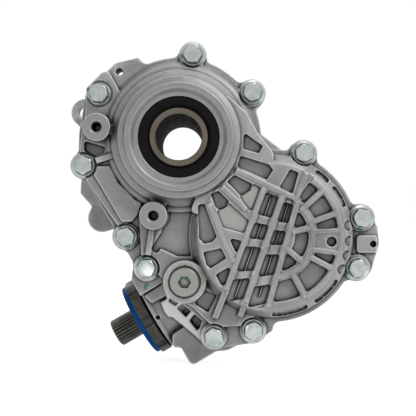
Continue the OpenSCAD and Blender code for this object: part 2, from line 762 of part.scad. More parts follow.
module case_cavity() {
    hole(input_cavity_r, -gear_w + gear_front - 3, eps);
    hole(input_cup_r, input_rear_back, 0);
    hole(input_cup_r - cup_lip, input_rear_back - relief, 0);
    hole(input_journal_r + 7, -gearbox_depth, 0);
    hole(seal_outer_r, -gearbox_depth - spigot_h - eps, gearbox_seal_back + gearbox_seal_t);
    translate(transfer) {
        difference() {
            hole(ring_cavity_r, case_cavity_back, eps);
            hole(transfer_cup_r + cup_wall, case_cavity_back - eps, cup_boss_front);
        }
        hole(transfer_cup_r, transfer_rear_front - transfer_bearing_w, cup_boss_front + eps);
        hole(transfer_cup_r - cup_lip, transfer_rear_front - transfer_bearing_w - relief, cup_boss_front);
    }
    on_pinion_line() {
        hole(pinion_cup_r, head_start, nose_reach + eps);
        hole(pinion_cup_r - cup_lip, neck_start, nose_reach);
        hole(head_collar_r + relief, neck_start, head_start - 1.5);
    }
}

module rear_housing() color("#a6a8a8") place() difference() {
    case_body();
    case_cavity();
    for (p = bolts) translate(p) hole(bolt_r + run_gap, bolt_end - relief, eps);
    translate(tab_hole) hole(tab_hole_r, -flange_t - eps, eps);
    for (p = dowels) translate(p) hole(dowel_r + seat_gap, -dowel_l / 2 - 1, eps);
    for (p = open_ears) translate(p) hole(ear_hole_r, -gearbox_depth - eps, ear_t);
    for (p = tapped_ears) translate([p[0], p[1], -gearbox_depth])
        hole(ear_tap_r, -eps, ear_t + eps);
    translate([0, 0, -web_pocket_d]) linear_extrude(web_pocket_d + eps)
        rounded(1) for (p = web_pockets) polygon(p);
    translate(pad_hole) hole(pad_hole_r, nose_pad_tops[1] - pad_hole_d, eps);
    translate(fill_at) hole(plug_r - 1, pinion_z + pinion_cup_r / 2, eps);
    translate(drain_at) hole(plug_r + seat_gap, drain_seat, case_cavity_back + eps);
    translate([0, 0, breather_z]) rotate([-90, 0, 0]) {
        cylinder(r = breather_r / 2, h = case_neck_r);
        translate([0, 0, case_neck_r - 8]) cylinder(r = breather_r + seat_gap, h = 20);
    }
    translate([0, 0, -gearbox_depth - spigot_h / 2]) {
        tube(spigot_r + eps, spigot_r - 2 * ring_section, -ring_section, ring_section);
    }
}

module flange_bolt() {
    hole(bolt_r, bolt_end, bolt_seat + bolt_flange_h);
    translate([0, 0, bolt_seat]) {
        cylinder(r1 = bolt_flange_r, r2 = bolt_flange_r - 1.8, h = bolt_flange_h);
        intersection() {
            cylinder(r = bolt_hex / sqrt(3), h = bolt_head_h, $fn = 6);
            cylinder(r1 = bolt_hex * 1.3, r2 = bolt_hex * 0.49, h = bolt_head_h);
        }
    }
}

module cover_bolts() color("#c3c7c9") place()
    for (i = [0:len(bolts) - 1]) translate(bolts[i]) rotate(bolt_turn * i) flange_bolt();

module cover_dowels() color("#8d9092") place()
    for (p = dowels) translate(p) tube(dowel_r, dowel_r - 1, -dowel_l / 2, dowel_l / 2);

module socket_plug(length) {
    difference() {
        union() {
            hole(plug_r, -length, 0);
            cylinder(r = plug_head_r, h = plug_head_h - 1);
            translate([0, 0, plug_head_h - 1])
                cylinder(r1 = plug_head_r, r2 = plug_head_r - 1, h = 1);
        }
        translate([0, 0, plug_head_h - plug_hex_d])
            cylinder(r = plug_hex / sqrt(3), h = plug_hex_d + 1, $fn = 6);
    }
}

module fill_plug() color("#c3c7c9") place()
    translate([fill_at[0], fill_at[1], fill_plug_seat]) socket_plug(fill_plug_l);
module fill_plug_washer() color("#b98b5e") place() translate(fill_at)
    tube(plug_head_r, plug_r + seat_gap, fill_boss_h - plug_seat_d, fill_plug_seat);

module drain_plug() color("#c3c7c9") place()
    translate([drain_at[0], drain_at[1], drain_seat]) mirror([0, 0, 1]) socket_plug(drain_plug_l);
module drain_plug_washer() color("#b98b5e") place() translate(drain_at)
    tube(plug_head_r, plug_r + seat_gap, drain_seat, case_back - drain_boss_h);

// Vent on top of the case: a stem pressed into it, a groove, and a cap over the groove
module breather() color("#3a3c3e") place() translate([0, 0, breather_z]) rotate([-90, 0, 0])
    translate([0, 0, case_neck_r]) rotate_extrude() polygon([
        [breather_bore_r, -6], [breather_r, -6], [breather_r, 6], [breather_r + 2, 6],
        [breather_r + 2, 7.5], [breather_r, 8], [breather_r, 10.5], [breather_r + 4.5, 11],
        [breather_r + 4.5, 15], [breather_r + 3.5, 16.5], [breather_bore_r, 16.5]
    ]);

// Input axis
module half_shaft_seal_lip() color("#1d1e20") place() translate([0, 0, half_seal_front])
    rotate_extrude() polygon([
        [seal_outer_r, -half_seal_h], [seal_outer_r, -0.4], [seal_outer_r - 0.4, 0],
        [input_journal_r + 3, 0], [input_journal_r + run_gap, -2.4], [input_journal_r + run_gap, -3.2],
        [input_journal_r + 1.6, -3.6], [input_journal_r + 2.6, -2], [seal_outer_r - 1.6, -2],
        [seal_outer_r - 1.6, -half_seal_h]
    ]);
module half_shaft_seal_case() color("#6f7478") place() translate([0, 0, half_seal_front])
    rotate_extrude() polygon([
        [seal_outer_r - 1.6, -half_seal_h], [seal_outer_r - 1.6, -2], [input_journal_r + 3.4, -2],
        [input_journal_r + 3.4, -3], [seal_outer_r - 2.6, -3], [seal_outer_r - 2.6, -half_seal_h]
    ]);
module gearbox_seal() color("#1d1e20") place() translate([0, 0, gearbox_seal_back])
    rotate_extrude() polygon([
        [seal_outer_r, gearbox_seal_t], [seal_outer_r, 0], [input_journal_r + 2, 0],
        [input_journal_r + run_gap, 2.2], [input_journal_r + run_gap, 3.2],
        [input_journal_r + 3, 2.4], [seal_outer_r - 2, 2.4], [seal_outer_r - 2, gearbox_seal_t]
    ]);
module spigot_o_ring() color("#1d1e20") place()
    translate([0, 0, -gearbox_depth - spigot_h / 2]) rotate_extrude()
    translate([spigot_r - ring_section, 0]) circle(r = ring_section, $fn = 32);

module input_shaft() color("#8f9397") place() difference() {
    union() {
        rotate_extrude() polygon([
            [0, journal_back], [input_journal_r, journal_back],
            [input_journal_r, input_rear_back - 2], [input_bearing_r, input_rear_back - 1],
            [input_bearing_r, input_hub_back], [input_bearing_r + 1.5, input_hub_back],
            [input_bearing_r + 1.5, input_bearing_back], [input_bearing_r, input_bearing_back],
            [input_bearing_r, input_bearing_back + input_bearing_w + 1],
            [input_journal_r, input_bearing_back + input_bearing_w + 2],
            [input_journal_r, input_front - edge_cut], [input_journal_r - edge_cut, input_front],
            [0, input_front]
        ]);
        intersection() {
            translate([0, 0, -gearbox_depth - input_tail]) linear_extrude(input_tail)
                polygon(spline_outline(input_spline_n, input_journal_r - 0.8, input_journal_r - 2));
            translate([0, 0, -gearbox_depth - input_tail])
                cylinder(r1 = input_journal_r - 2.4, r2 = input_journal_r + 22, h = input_tail);
        }
    }
    hole(input_bore_r, -gearbox_depth - input_tail - eps, input_front + eps);
    translate([0, 0, input_front - edge_cut])
        cylinder(r1 = input_bore_r, r2 = input_bore_r + 2 * edge_cut, h = 2 * edge_cut);
    tube(input_journal_r + 1, snap_in_r, snap_back, snap_back + snap_t);
}

// Open ring in a groove of the spline
snap_t = 1.8;
snap_in_r = input_journal_r - 2.6;
snap_back = -gearbox_depth - input_tail + 4;
snap_opening = [[0, 0], [40, -8], [40, 8]];
module shaft_snap_ring() color("#6f7478") place() difference() {
    tube(input_journal_r + 0.4, snap_in_r, snap_back, snap_back + snap_t);
    translate([0, 0, snap_back - eps]) linear_extrude(snap_t + 2 * eps) polygon(snap_opening);
}

// A helical gear: toothed rim, web and hub round a bore; twist is its turn over the face
module helical_gear(n, pitch, twist, bore, hub, web_back, hub_back, hub_front) {
    play = 1 - tooth_play / (PI * gear_module);
    tip = pitch + gear_module * 0.95;
    root = pitch - gear_module * 1.2;
    difference() {
        translate([0, 0, gear_back]) linear_extrude(gear_w, twist = twist, slices = 3)
            polygon(gear_outline(n, pitch, tip, root, 20, play));
        hole(root - rim_t, gear_back - eps, gear_front + eps);
    }
    difference() {
        union() {
            hole(root - rim_t + 1, web_back, web_back + web_t);
            hole(hub, hub_back, hub_front);
        }
        hole(bore, hub_back - eps, hub_front + eps);
    }
}
gear_twist = gear_w * tan(helix_angle) / input_pitch_r * 180 / PI;

module input_gear() color("#777b80") place() rotate(transfer_dir)
    helical_gear(input_teeth, input_pitch_r, gear_twist, input_bearing_r + 1.5 + seat_gap,
                 input_hub_r, gear_back + 4, input_hub_back, input_bearing_back);
module driven_gear() color("#777b80") at_transfer() rotate(transfer_dir + 180 + 180 / driven_teeth)
    helical_gear(driven_teeth, driven_pitch_r, -gear_twist * input_teeth / driven_teeth,
                 driven_seat_r + seat_gap, driven_seat_r + 7, gear_front - web_t,
                 ring_face + shaft_flange_t, gear_front);

module input_front_bearing() place() translate([0, 0, input_bearing_back]) children();
module input_rear_bearing() place() translate([0, 0, input_hub_back]) mirror([0, 0, 1]) children();
module input_shim() color("#9a9ea1") place()
    tube(input_cup_r, input_cup_r - cup_lip, input_bearing_back + input_bearing_w,
         input_bearing_back + input_bearing_w + input_shim_t);
module input_front_cup() color("#8a8e92") input_front_bearing()
    bearing_cup(input_bearing_r, input_cup_r, input_bearing_w);
module input_front_cone() color("#8a8e92") input_front_bearing()
    bearing_cone(input_bearing_r, input_cup_r, input_bearing_w);
module input_front_rollers() color("#a9adb0") input_front_bearing()
    bearing_rollers(input_bearing_r, input_cup_r, input_bearing_w);
module input_rear_cup() color("#8a8e92") input_rear_bearing()
    bearing_cup(input_bearing_r, input_cup_r, input_bearing_w);
module input_rear_cone() color("#8a8e92") input_rear_bearing()
    bearing_cone(input_bearing_r, input_cup_r, input_bearing_w);
module input_rear_rollers() color("#a9adb0") input_rear_bearing()
    bearing_rollers(input_bearing_r, input_cup_r, input_bearing_w);

// Transfer axis
module transfer_shaft() color("#8f9397") at_transfer() difference() {
    rotate_extrude() polygon([
        [0, transfer_rear_front - transfer_bearing_w - 1],
        [transfer_cone_r - 1, transfer_rear_front - transfer_bearing_w - 1],
        [transfer_cone_r, transfer_rear_front - transfer_bearing_w],
        [transfer_cone_r, transfer_rear_front], [transfer_cone_r + 4, transfer_rear_front],
        [transfer_cone_r + 4, ring_face - ring_hub_t - 4], [ring_pilot_r, ring_face - ring_hub_t],
        [ring_pilot_r, ring_face], [shaft_flange_r, ring_face],
        [shaft_flange_r, ring_face + shaft_flange_t], [driven_seat_r, ring_face + shaft_flange_t],
        [driven_seat_r, transfer_bearing_back], [transfer_cone_r, transfer_bearing_back],
        [transfer_cone_r, transfer_bearing_back + transfer_bearing_w - 0.5],
        [transfer_cone_r - 1, transfer_bearing_back + transfer_bearing_w],
        [0, transfer_bearing_back + transfer_bearing_w]
    ]);
    for (i = [0:ring_screws - 1]) rotate(360 / ring_screws * i) translate([ring_screw_r, 0, 0])
        hole(screw_r + seat_gap, ring_face - eps, 1);
}

// One tooth of the ring gear, lofted through the stations: root, tip, tip, root at each
module ring_tooth() {
    points = [for (r = stations) let(
        m = tooth_module(r), z = pinion_z + pinion_pitch(r),
        half = 90 / ring_teeth * hypoid_thin,
        flank = tan(pinion_pressure) / (pinion_pitch(r) * ring_ratio) * 180 / PI,
        top = half - flank * addendum * m, low = half + flank * (dedendum * m + 0.6),
        a = ring_tooth_dir(r))
        each [for (c = [[-low, dedendum * m + 0.6], [-top, -addendum * m],
                        [top, -addendum * m], [low, dedendum * m + 0.6]])
            [r * cos(a + c[0]), r * sin(a + c[0]), z + c[1]]]];
    last = 4 * (len(stations) - 1);
    polyhedron(points, concat(
        [[0, 1, 2, 3], [last + 3, last + 2, last + 1, last]],
        [for (k = [0:len(stations) - 2], c = [0:3])
            let(a = 4 * k + c, b = 4 * k + (c + 1) % 4) each [[a, a + 4, b + 4], [a, b + 4, b]]]));
}

function ring_root_z(r) = pinion_z + pinion_pitch(r) + dedendum * tooth_module(r);

module ring_gear() color("#6c7075") at_transfer() difference() {
    union() {
        rotate_extrude() polygon(concat(
            [[ring_pilot_r + seat_gap, ring_face], [ring_r - 0.05, ring_face]],
            [for (k = [4:-1:0]) [stations[k] + (k == 4 ? -0.05 : 0), ring_root_z(stations[k])]],
            [[stations[0] - 1.5, ring_face - ring_hub_t],
             [ring_pilot_r + seat_gap, ring_face - ring_hub_t]]));
        for (i = [0:ring_teeth - 1]) rotate(360 / ring_teeth * i) ring_tooth();
    }
    for (i = [0:ring_screws - 1]) rotate(360 / ring_screws * i) translate([ring_screw_r, 0, 0])
        hole(screw_r + seat_gap, ring_face - ring_hub_t + 2, ring_face + eps);
}

module ring_gear_screws() color("#3f4245") at_transfer() for (i = [0:ring_screws - 1])
    rotate(360 / ring_screws * i) translate([ring_screw_r, 0, ring_face + shaft_flange_t]) {
        hole(screw_r, -shaft_flange_t - ring_hub_t + 3, 1);
        difference() {
            hole(screw_head_r, 0, screw_head_h);
            translate([0, 0, 2]) cylinder(r = 3.6, h = 4, $fn = 6);
        }
    }

module transfer_front_bearing() at_transfer() translate([0, 0, transfer_bearing_back]) children();
module transfer_rear_bearing() at_transfer() translate([0, 0, transfer_rear_front])
    mirror([0, 0, 1]) children();
module transfer_shim() color("#9a9ea1") at_transfer()
    tube(transfer_cup_r, transfer_cup_r - cup_lip, transfer_bearing_back + transfer_bearing_w,
         transfer_bearing_back + transfer_bearing_w + transfer_shim_t);
module transfer_front_cup() color("#8a8e92") transfer_front_bearing()
    bearing_cup(transfer_cone_r, transfer_cup_r, transfer_bearing_w);
module transfer_front_cone() color("#8a8e92") transfer_front_bearing()
    bearing_cone(transfer_cone_r, transfer_cup_r, transfer_bearing_w);
module transfer_front_rollers() color("#a9adb0") transfer_front_bearing()
    bearing_rollers(transfer_cone_r, transfer_cup_r, transfer_bearing_w);
module transfer_rear_cup() color("#8a8e92") transfer_rear_bearing()
    bearing_cup(transfer_cone_r, transfer_cup_r, transfer_bearing_w);
module transfer_rear_cone() color("#8a8e92") transfer_rear_bearing()
    bearing_cone(transfer_cone_r, transfer_cup_r, transfer_bearing_w);
module transfer_rear_rollers() color("#a9adb0") transfer_rear_bearing()
    bearing_rollers(transfer_cone_r, transfer_cup_r, transfer_bearing_w);

// Pinion axis. The head is lofted through the stations, with a space of its teeth wherever a
// ring tooth crosses the axis.
module pinion_head() {
    sections = [for (r = pinion_stations) [for (p = gear_outline(
            pinion_teeth, pinion_pitch(r), pinion_pitch(r) + addendum * tooth_module(r),
            pinion_pitch(r) - dedendum * tooth_module(r), pinion_pressure, hypoid_thin))
        let(a = 90 + pinion_space_dir(r) + 180 / pinion_teeth)
        [p[0] * cos(a) - p[1] * sin(a), p[0] * sin(a) + p[1] * cos(a), along(r)]]];
    n = len(sections[0]);
    last = n * (len(sections) - 1);
    polyhedron([for (s = sections) each s], concat(
        [[for (k = [0:n - 1]) k], [for (k = [n - 1:-1:0]) last + k]],
        [for (s = [0:len(sections) - 2], k = [0:n - 1])
            let(a = n * s + k, b = n * s + (k + 1) % n) each [[a, a + n, b + n], [a, b + n, b]]]));
}

module pinion_shaft() color("#4a4c4e") at_pinion() {
    pinion_head();
    rotate_extrude() polygon([
        [0, ring_r - 4], [pinion_cone_r - 6, ring_r - 4], [pinion_cone_r - 6, head_end_face],
        [head_collar_r, head_end_face], [head_collar_r, head_end_face + 2],
        [pinion_cone_r + 4, head_end_face + 2],
        [pinion_cone_r + 4, head_start - pinion_shim_t],
        [pinion_cone_r, head_start - pinion_shim_t], [pinion_cone_r, tail_end],
        [lock_thread_r, tail_end], [lock_thread_r, tail_end + lock_nut_t],
        [seal_journal_r, tail_end + lock_nut_t + 1], [seal_journal_r, seal_end],
        [spline_r - 0.6, spline_start], [0, spline_start]
    ]);
    intersection() {
        translate([0, 0, spline_start - 1]) linear_extrude(spline_l + 1)
            polygon(spline_outline(spline_n, spline_r, spline_r - 1.1));
        translate([0, 0, spline_start - 1])
            cylinder(r1 = spline_r + spline_l, r2 = spline_r - 1.4, h = spline_l + 1);
    }
}

module pinion_shim() color("#9a9ea1") at_pinion()
    tube(pinion_cone_r + 4, pinion_cone_r + seat_gap, head_start - pinion_shim_t, head_start);
module pinion_spacer() color("#85898d") at_pinion()
    tube(pinion_cone_r + 3, pinion_cone_r + seat_gap, head_end, tail_start);
module cup_spacer() color("#85898d") at_pinion() difference() {
    tube(pinion_cup_r, pinion_cup_r - 3, head_end, tail_start);
    for (i = [0:5]) rotate(60 * i) translate([0, 0, (head_end + tail_start) / 2])
        rotate([0, 90, 0]) cylinder(r = (tail_start - head_end) / 3, h = pinion_cup_r + 2);
}
module pinion_lock_nut() color("#5d6165") at_pinion() difference() {
    tube(lock_nut_r, lock_thread_r + seat_gap, tail_end, tail_end + lock_nut_t);
    for (i = [0:3]) rotate(90 * i)
        translate([lock_nut_r - lock_slot * 0.6, -lock_slot / 2, tail_end + lock_nut_t - lock_slot])
        cube([lock_slot, lock_slot, lock_slot + eps]);
}

module pinion_head_bearing() at_pinion() translate([0, 0, head_end]) mirror([0, 0, 1]) children();
module pinion_tail_bearing() at_pinion() translate([0, 0, tail_start]) children();
module pinion_head_cup() color("#8a8e92") pinion_head_bearing()
    bearing_cup(pinion_cone_r, pinion_cup_r, pinion_bearing_w);
module pinion_head_cone() color("#8a8e92") pinion_head_bearing()
    bearing_cone(pinion_cone_r, pinion_cup_r, pinion_bearing_w);
module pinion_head_rollers() color("#a9adb0") pinion_head_bearing()
    bearing_rollers(pinion_cone_r, pinion_cup_r, pinion_bearing_w);
module pinion_tail_cup() color("#8a8e92") pinion_tail_bearing()
    bearing_cup(pinion_cone_r, pinion_cup_r, pinion_bearing_w);
module pinion_tail_cone() color("#8a8e92") pinion_tail_bearing()
    bearing_cone(pinion_cone_r, pinion_cup_r, pinion_bearing_w);
module pinion_tail_rollers() color("#a9adb0") pinion_tail_bearing()
    bearing_rollers(pinion_cone_r, pinion_cup_r, pinion_bearing_w);

// What closes the nose: the castellated nut screwed into it, its black washer and the blue seal
nut_bore_r = 26;
module nose_ring_nut() color("#3b3a38") at_pinion() difference() {
    union() {
        tube(nut_r, nut_bore_r, nut_start, nut_end);
        tube(pinion_cup_r - seat_gap, nut_bore_r, tail_end, nut_start + 1);
    }
    for (i = [0:nut_lands - 1]) rotate(360 / nut_lands * i + nut_turn)
        translate([nut_r - nut_slot_d, 0, nut_start - eps]) linear_extrude(nut_t + 2 * eps)
        polygon([
            [0, -nut_slot_w / 2 + 1], [nut_slot_d + 2, -nut_slot_w / 2 - 1],
            [nut_slot_d + 2, nut_slot_w / 2 + 1], [0, nut_slot_w / 2 - 1]
        ]);
}
module nose_washer() color("#161616") at_pinion()
    tube(nose_r - 3, pinion_cup_r + 0.2, nose_reach, nut_start);
module nose_seal() color("#1f5fae") at_pinion() rotate_extrude() polygon([
    [nut_bore_r, nut_start], [nut_bore_r, nut_end], [blue_seal_r, nut_end],
    [blue_seal_r, seal_end - 1], [blue_seal_r - 1, seal_end], [seal_journal_r + 4, seal_end],
    [seal_journal_r + run_gap, seal_end - 2], [seal_journal_r + run_gap, seal_end - 4],
    [nut_bore_r - 3, seal_end - 5], [nut_bore_r - 3, nut_start + 2],
    [seal_journal_r + run_gap, nut_start + 2], [seal_journal_r + run_gap, nut_start]
]);

front_cover();
rear_housing();
cover_bolts();
cover_dowels();
fill_plug();
fill_plug_washer();
drain_plug();
drain_plug_washer();
breather();
half_shaft_seal_case();
half_shaft_seal_lip();
input_shim();
input_shaft();
input_gear();
input_front_cup();
input_front_cone();
input_front_rollers();
input_rear_cup();
input_rear_cone();
input_rear_rollers();
shaft_snap_ring();
gearbox_seal();
spigot_o_ring();
transfer_shim();
transfer_shaft();
driven_gear();
ring_gear();
ring_gear_screws();
transfer_front_cup();
transfer_front_cone();
transfer_front_rollers();
transfer_rear_cup();
transfer_rear_cone();
transfer_rear_rollers();
pinion_shaft();
pinion_shim();
pinion_spacer();
cup_spacer();
pinion_lock_nut();
pinion_head_cup();
pinion_head_cone();
pinion_head_rollers();
pinion_tail_cup();
pinion_tail_cone();
pinion_tail_rollers();
nose_ring_nut();
nose_washer();
nose_seal();
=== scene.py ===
# Transfer case: cast cover and case, zinc bolts, seals, dark nut and splined output.
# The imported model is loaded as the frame. The two castings get soft fillets, blasted skin and a few
# fine forms: crowned ribs, sloping slots and a closed low ear. Eight pieces get broken edges, three
# turned faces lie over the bosses, and every piece has a procedural finish.
import json
import math

import bmesh
import bpy
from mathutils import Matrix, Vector


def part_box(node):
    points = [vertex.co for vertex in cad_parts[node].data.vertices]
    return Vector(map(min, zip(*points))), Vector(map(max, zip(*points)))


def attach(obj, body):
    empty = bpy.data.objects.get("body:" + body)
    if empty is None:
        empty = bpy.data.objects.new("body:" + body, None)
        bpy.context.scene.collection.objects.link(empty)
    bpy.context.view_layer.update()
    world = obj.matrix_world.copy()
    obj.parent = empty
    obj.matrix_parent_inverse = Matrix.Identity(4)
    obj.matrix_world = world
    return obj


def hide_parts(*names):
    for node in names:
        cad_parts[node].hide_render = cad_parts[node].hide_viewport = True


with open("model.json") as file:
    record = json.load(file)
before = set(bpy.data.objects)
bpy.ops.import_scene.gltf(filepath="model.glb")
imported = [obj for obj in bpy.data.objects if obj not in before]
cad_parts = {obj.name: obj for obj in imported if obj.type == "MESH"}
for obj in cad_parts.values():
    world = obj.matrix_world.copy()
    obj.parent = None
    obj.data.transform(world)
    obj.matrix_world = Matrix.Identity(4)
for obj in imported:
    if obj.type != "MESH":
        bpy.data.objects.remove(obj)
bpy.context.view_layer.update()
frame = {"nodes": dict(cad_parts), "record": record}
print("frame loaded:", len(frame["nodes"]), "pieces")

mm = 0.001
scene = bpy.context.scene


# Places of the part that the scene needs, in millimetres, seen as in the photograph:
# x to the right, y up, z towards the viewer from the joint of cover and case
layout = {
    "gearboxDepth": 82.0,
    "transferAxis": (83.0, -87.7),
    "bossHeight": 45.0,
    "bossRadius": 47.7,
    "sealRadius": 36.0,
    "recessRadius": 40.0,
    "recessDepth": 3.5,
    "bracketBosses": [(-73.3, 9.3), (-22.8, -69.5)],
    "bracketHeight": 35.0,
    "bracketRadius": 12.5,
    "bracketHole": 4.25,
    "fillPlug": (4.9, -128.5),
    "shaftBore": 20.5,
    "domeHeight": 36.0,
}


def toFrame(x, y, z=0.0):
    return Vector((x, -(z + layout["gearboxDepth"]), y)) * mm


# Small helpers for node trees
def feed(tree, socket, value):
    # A socket takes a plain value or another node's output
    if isinstance(value, bpy.types.NodeSocket):
        tree.links.new(value, socket)
    else:
        socket.default_value = value


def addNode(tree, kind, place, **settings):
    node = tree.nodes.new(kind)
    node.location = place
    for key, value in settings.items():
        if key in node.inputs:
            feed(tree, node.inputs[key], value)
        else:
            setattr(node, key, value)
    return node


def addMath(tree, place, operation, *parts, kind="ShaderNodeMath", **settings):
    # Parts go to the inputs in order
    node = addNode(tree, kind, place, operation=operation, **settings)
    for socket, part in zip(node.inputs, parts):
        feed(tree, socket, part)
    return node


def calculate(tree, place, operation, *parts, **settings):
    return addMath(tree, place, operation, *parts, **settings).outputs["Value"]


def calculateVector(tree, place, operation, *parts):
    return addMath(tree, place, operation, *parts, kind="ShaderNodeVectorMath").outputs["Vector"]


def measureVector(tree, place, operation, *parts):
    return addMath(tree, place, operation, *parts, kind="ShaderNodeVectorMath").outputs["Value"]


def mapTo(tree, place, source, span, result=(0.0, 1.0)):
    # What lies in the span is stretched to the result, and what lies beyond stays at its ends
    node = addNode(tree, "ShaderNodeMapRange", place, Value=source)
    for label, value in zip(("From Min", "From Max", "To Min", "To Max"), (*span, *result)):
        feed(tree, node.inputs[label], value)
    return node.outputs["Result"]


def addNoise(tree, place, **settings):
    return addNode(tree, "ShaderNodeTexNoise", place, **settings).outputs["Fac"]


def coordinate(tree, place, kind="Object"):
    return addNode(tree, "ShaderNodeTexCoord", place).outputs[kind]


def splitUp(tree, place, source):
    return addNode(tree, "ShaderNodeSeparateXYZ", place, Vector=source).outputs


def newGroup(name, inputs, outputs):
    tree = bpy.data.node_groups.new(name, "ShaderNodeTree")
    for label, kind, value in inputs:
        socket = tree.interface.new_socket(name=label, in_out="INPUT", socket_type=kind)
        socket.default_value = value
    for label in outputs:
        tree.interface.new_socket(name=label, in_out="OUTPUT", socket_type=floatSocket)
    start = addNode(tree, "NodeGroupInput", (-900, 0))
    end = addNode(tree, "NodeGroupOutput", (900, 0))
    return tree, start.outputs, end


def putOut(tree, end, **results):
    for label, result in results.items():
        feed(tree, end.inputs[label], result)
    return tree


floatSocket = "NodeSocketFloat"
vectorSocket = "NodeSocketVector"

# Blasted sand-cast skin: a fine grain, a coarser orange peel and a slow change of tone
castSkinLook = {
    "grain": {"Detail": 2.0, "Roughness": 0.6},
    "peel": {"Detail": 3.0, "Roughness": 0.6},
    "peelShare": 1.6,
    "patches": {"Scale": 22.0, "Detail": 4.0, "Roughness": 0.62},
}


def buildCastSkin():
    tree, start, end = newGroup(
        "castSkin",
        [("Grain Size", floatSocket, 0.5), ("Peel Size", floatSocket, 4.0), ("Seed", floatSocket, 0.0)],
        ["Height", "Tone", "Patches"],
    )
    place = calculateVector(tree, (-700, 300), "ADD", coordinate(tree, (-900, 300)), start["Seed"])
    noises = []
    for label, level in (("Grain", 260), ("Peel", 0)):
        scale = calculate(tree, (-500, level), "DIVIDE", 1.0 / mm, start[label + " Size"])
        shape = castSkinLook[label.lower()]
        noises.append(addNoise(tree, (-300, level), Vector=place, Scale=scale, **shape))
    grain, peel = noises
    height = calculate(tree, (0, 160), "MULTIPLY_ADD", peel, castSkinLook["peelShare"], grain)
    patches = addNoise(tree, (-300, -260), Vector=place, **castSkinLook["patches"])
    return putOut(tree, end, Height=height, Tone=grain, Patches=patches)


def buildEdgeMask():
    # Bright edges, partly wear and partly a painted highlight, and dark hollows, a painted shade, from
    # how sharply the surface bends. Pointiness is one half where it is flat
    tree, start, end = newGroup("edgeMask", [("Spread", floatSocket, 0.04)], ["Edge", "Hollow"])
    shape = addNode(tree, "ShaderNodeNewGeometry", (-700, 0))
    for label, side, level in (("Edge", 1.0, 150), ("Hollow", -1.0, -150)):
        limit = calculate(tree, (-450, level), "MULTIPLY_ADD", start["Spread"], side, 0.5)
        mask = mapTo(tree, (-150, level), shape.outputs["Pointiness"], (0.5, limit))
        putOut(tree, end, **{label: mask})
    return tree


# Painted shade deep in pockets and corners, most of all on their steep walls, from the occlusion.
# Upright:
# how squarely a face looks along the part's depth where it counts as floor, and where as wall
shelteredLook = {"upright": (0.97, 0.6), "wallShare": 1.3, "samples": 8}


def buildSheltered():
    tree, start, end = newGroup(
        "sheltered",
        [("Reach", floatSocket, 0.008), ("Open", floatSocket, 0.8), ("Closed", floatSocket, 0.3),
         ("Floor Share", floatSocket, 0.4)],
        ["Mask", "Exposed"],
    )
    # The occlusion round each place gives the painted shade
    around = addNode(
        tree, "ShaderNodeAmbientOcclusion", (-700, 100),
        samples=shelteredLook["samples"], only_local=True, Distance=start["Reach"],
    )
    hidden = mapTo(tree, (-450, 100), around.outputs["AO"], (start["Open"], start["Closed"]))
    parts = splitUp(tree, (-700, -200), coordinate(tree, (-900, -200), "Normal"))
    facing = calculate(tree, (-520, -200), "ABSOLUTE", parts["Y"])
    shares = (start["Floor Share"], shelteredLook["wallShare"])
    steep = mapTo(tree, (-300, -200), facing, shelteredLook["upright"], shares)
    mask = calculate(tree, (200, 0), "MULTIPLY", hidden, steep, use_clamp=True)
    exposed = calculate(tree, (200, 200), "SUBTRACT", 1.0, hidden)
    return putOut(tree, end, Mask=mask, Exposed=exposed)


# Fine rings that a lathe or mill leaves round an axis, and their change of tone
turningLook = {
    "rings": {"Detail": 3.0, "Roughness": 0.7},
    "slow": {"Scale": 60.0, "Detail": 3.0},
    "share": 0.5,
}


def buildTurningMarks():
    tree, start, end = newGroup(
        "turningMarks",
        [("Centre", vectorSocket, (0.0, 0.0, 0.0)), ("Ring Width", floatSocket, 0.25)],
        ["Height", "Tone"],
    )
    place = coordinate(tree, (-900, 200))
    # The axes of what is turned lie along Y
    shift = calculateVector(tree, (-700, 200), "SUBTRACT", place, start["Centre"])
    parts = splitUp(tree, (-340, 200), shift)
    flat = addNode(tree, "ShaderNodeCombineXYZ", (-160, 200), X=parts["X"], Y=parts["Z"])
    radius = measureVector(tree, (20, 200), "LENGTH", flat.outputs["Vector"])
    scale = calculate(tree, (-160, -60), "DIVIDE", 1.0 / mm, start["Ring Width"])
    rings = addNoise(
        tree, (240, 120), noise_dimensions="1D", W=radius, Scale=scale, **turningLook["rings"],
    )
    slow = addNoise(tree, (240, -160), Vector=place, **turningLook["slow"])
    both = calculate(tree, (480, -60), "ADD", rings, slow)
    tone = calculate(tree, (640, -60), "MULTIPLY", both, turningLook["share"])
    return putOut(tree, end, Height=rings, Tone=tone)


# Smudges and fine scratches from handling and storage
handlingLook = {
    "smudge": {"Detail": 5.0, "Roughness": 0.65, "Distortion": 0.6},
    "span": (0.35, 0.7),
    "stretch": {"Rotation": (0.4, 0.9, 0.3), "Scale": (3000.0, 160.0, 300.0)},
    "scratches": {"Scale": 1.0, "Detail": 1.0},
}


def buildHandling():
    tree, start, end = newGroup(
        "handling",
        [("Smudge Size", floatSocket, 12.0), ("Scratches", floatSocket, 0.5)],
        ["Smudge", "Height"],
    )
    place = coordinate(tree, (-900, 200))
    scale = calculate(tree, (-700, 0), "DIVIDE", 1.0 / mm, start["Smudge Size"])
    smudge = addNoise(tree, (-450, 200), Vector=place, Scale=scale, **handlingLook["smudge"])
    stretch = addNode(tree, "ShaderNodeMapping", (-650, -200), Vector=place, **handlingLook["stretch"])
    lines = addNoise(
        tree, (-450, -200), Vector=stretch.outputs["Vector"], **handlingLook["scratches"],
    )
    return putOut(
        tree, end,
        Smudge=mapTo(tree, (-200, 200), smudge, handlingLook["span"]),
        Height=calculate(tree, (-200, -200), "MULTIPLY", lines, start["Scratches"]),
    )


# A ragged touch of marking paint round one place, with flecks where it didn't cover
dabLook = {
    "ragged": {"Scale": 420.0, "Detail": 2.0},
    "flecks": {"Scale": 1400.0, "Detail": 1.0},
    "cover": (0.15, 0.62),
}


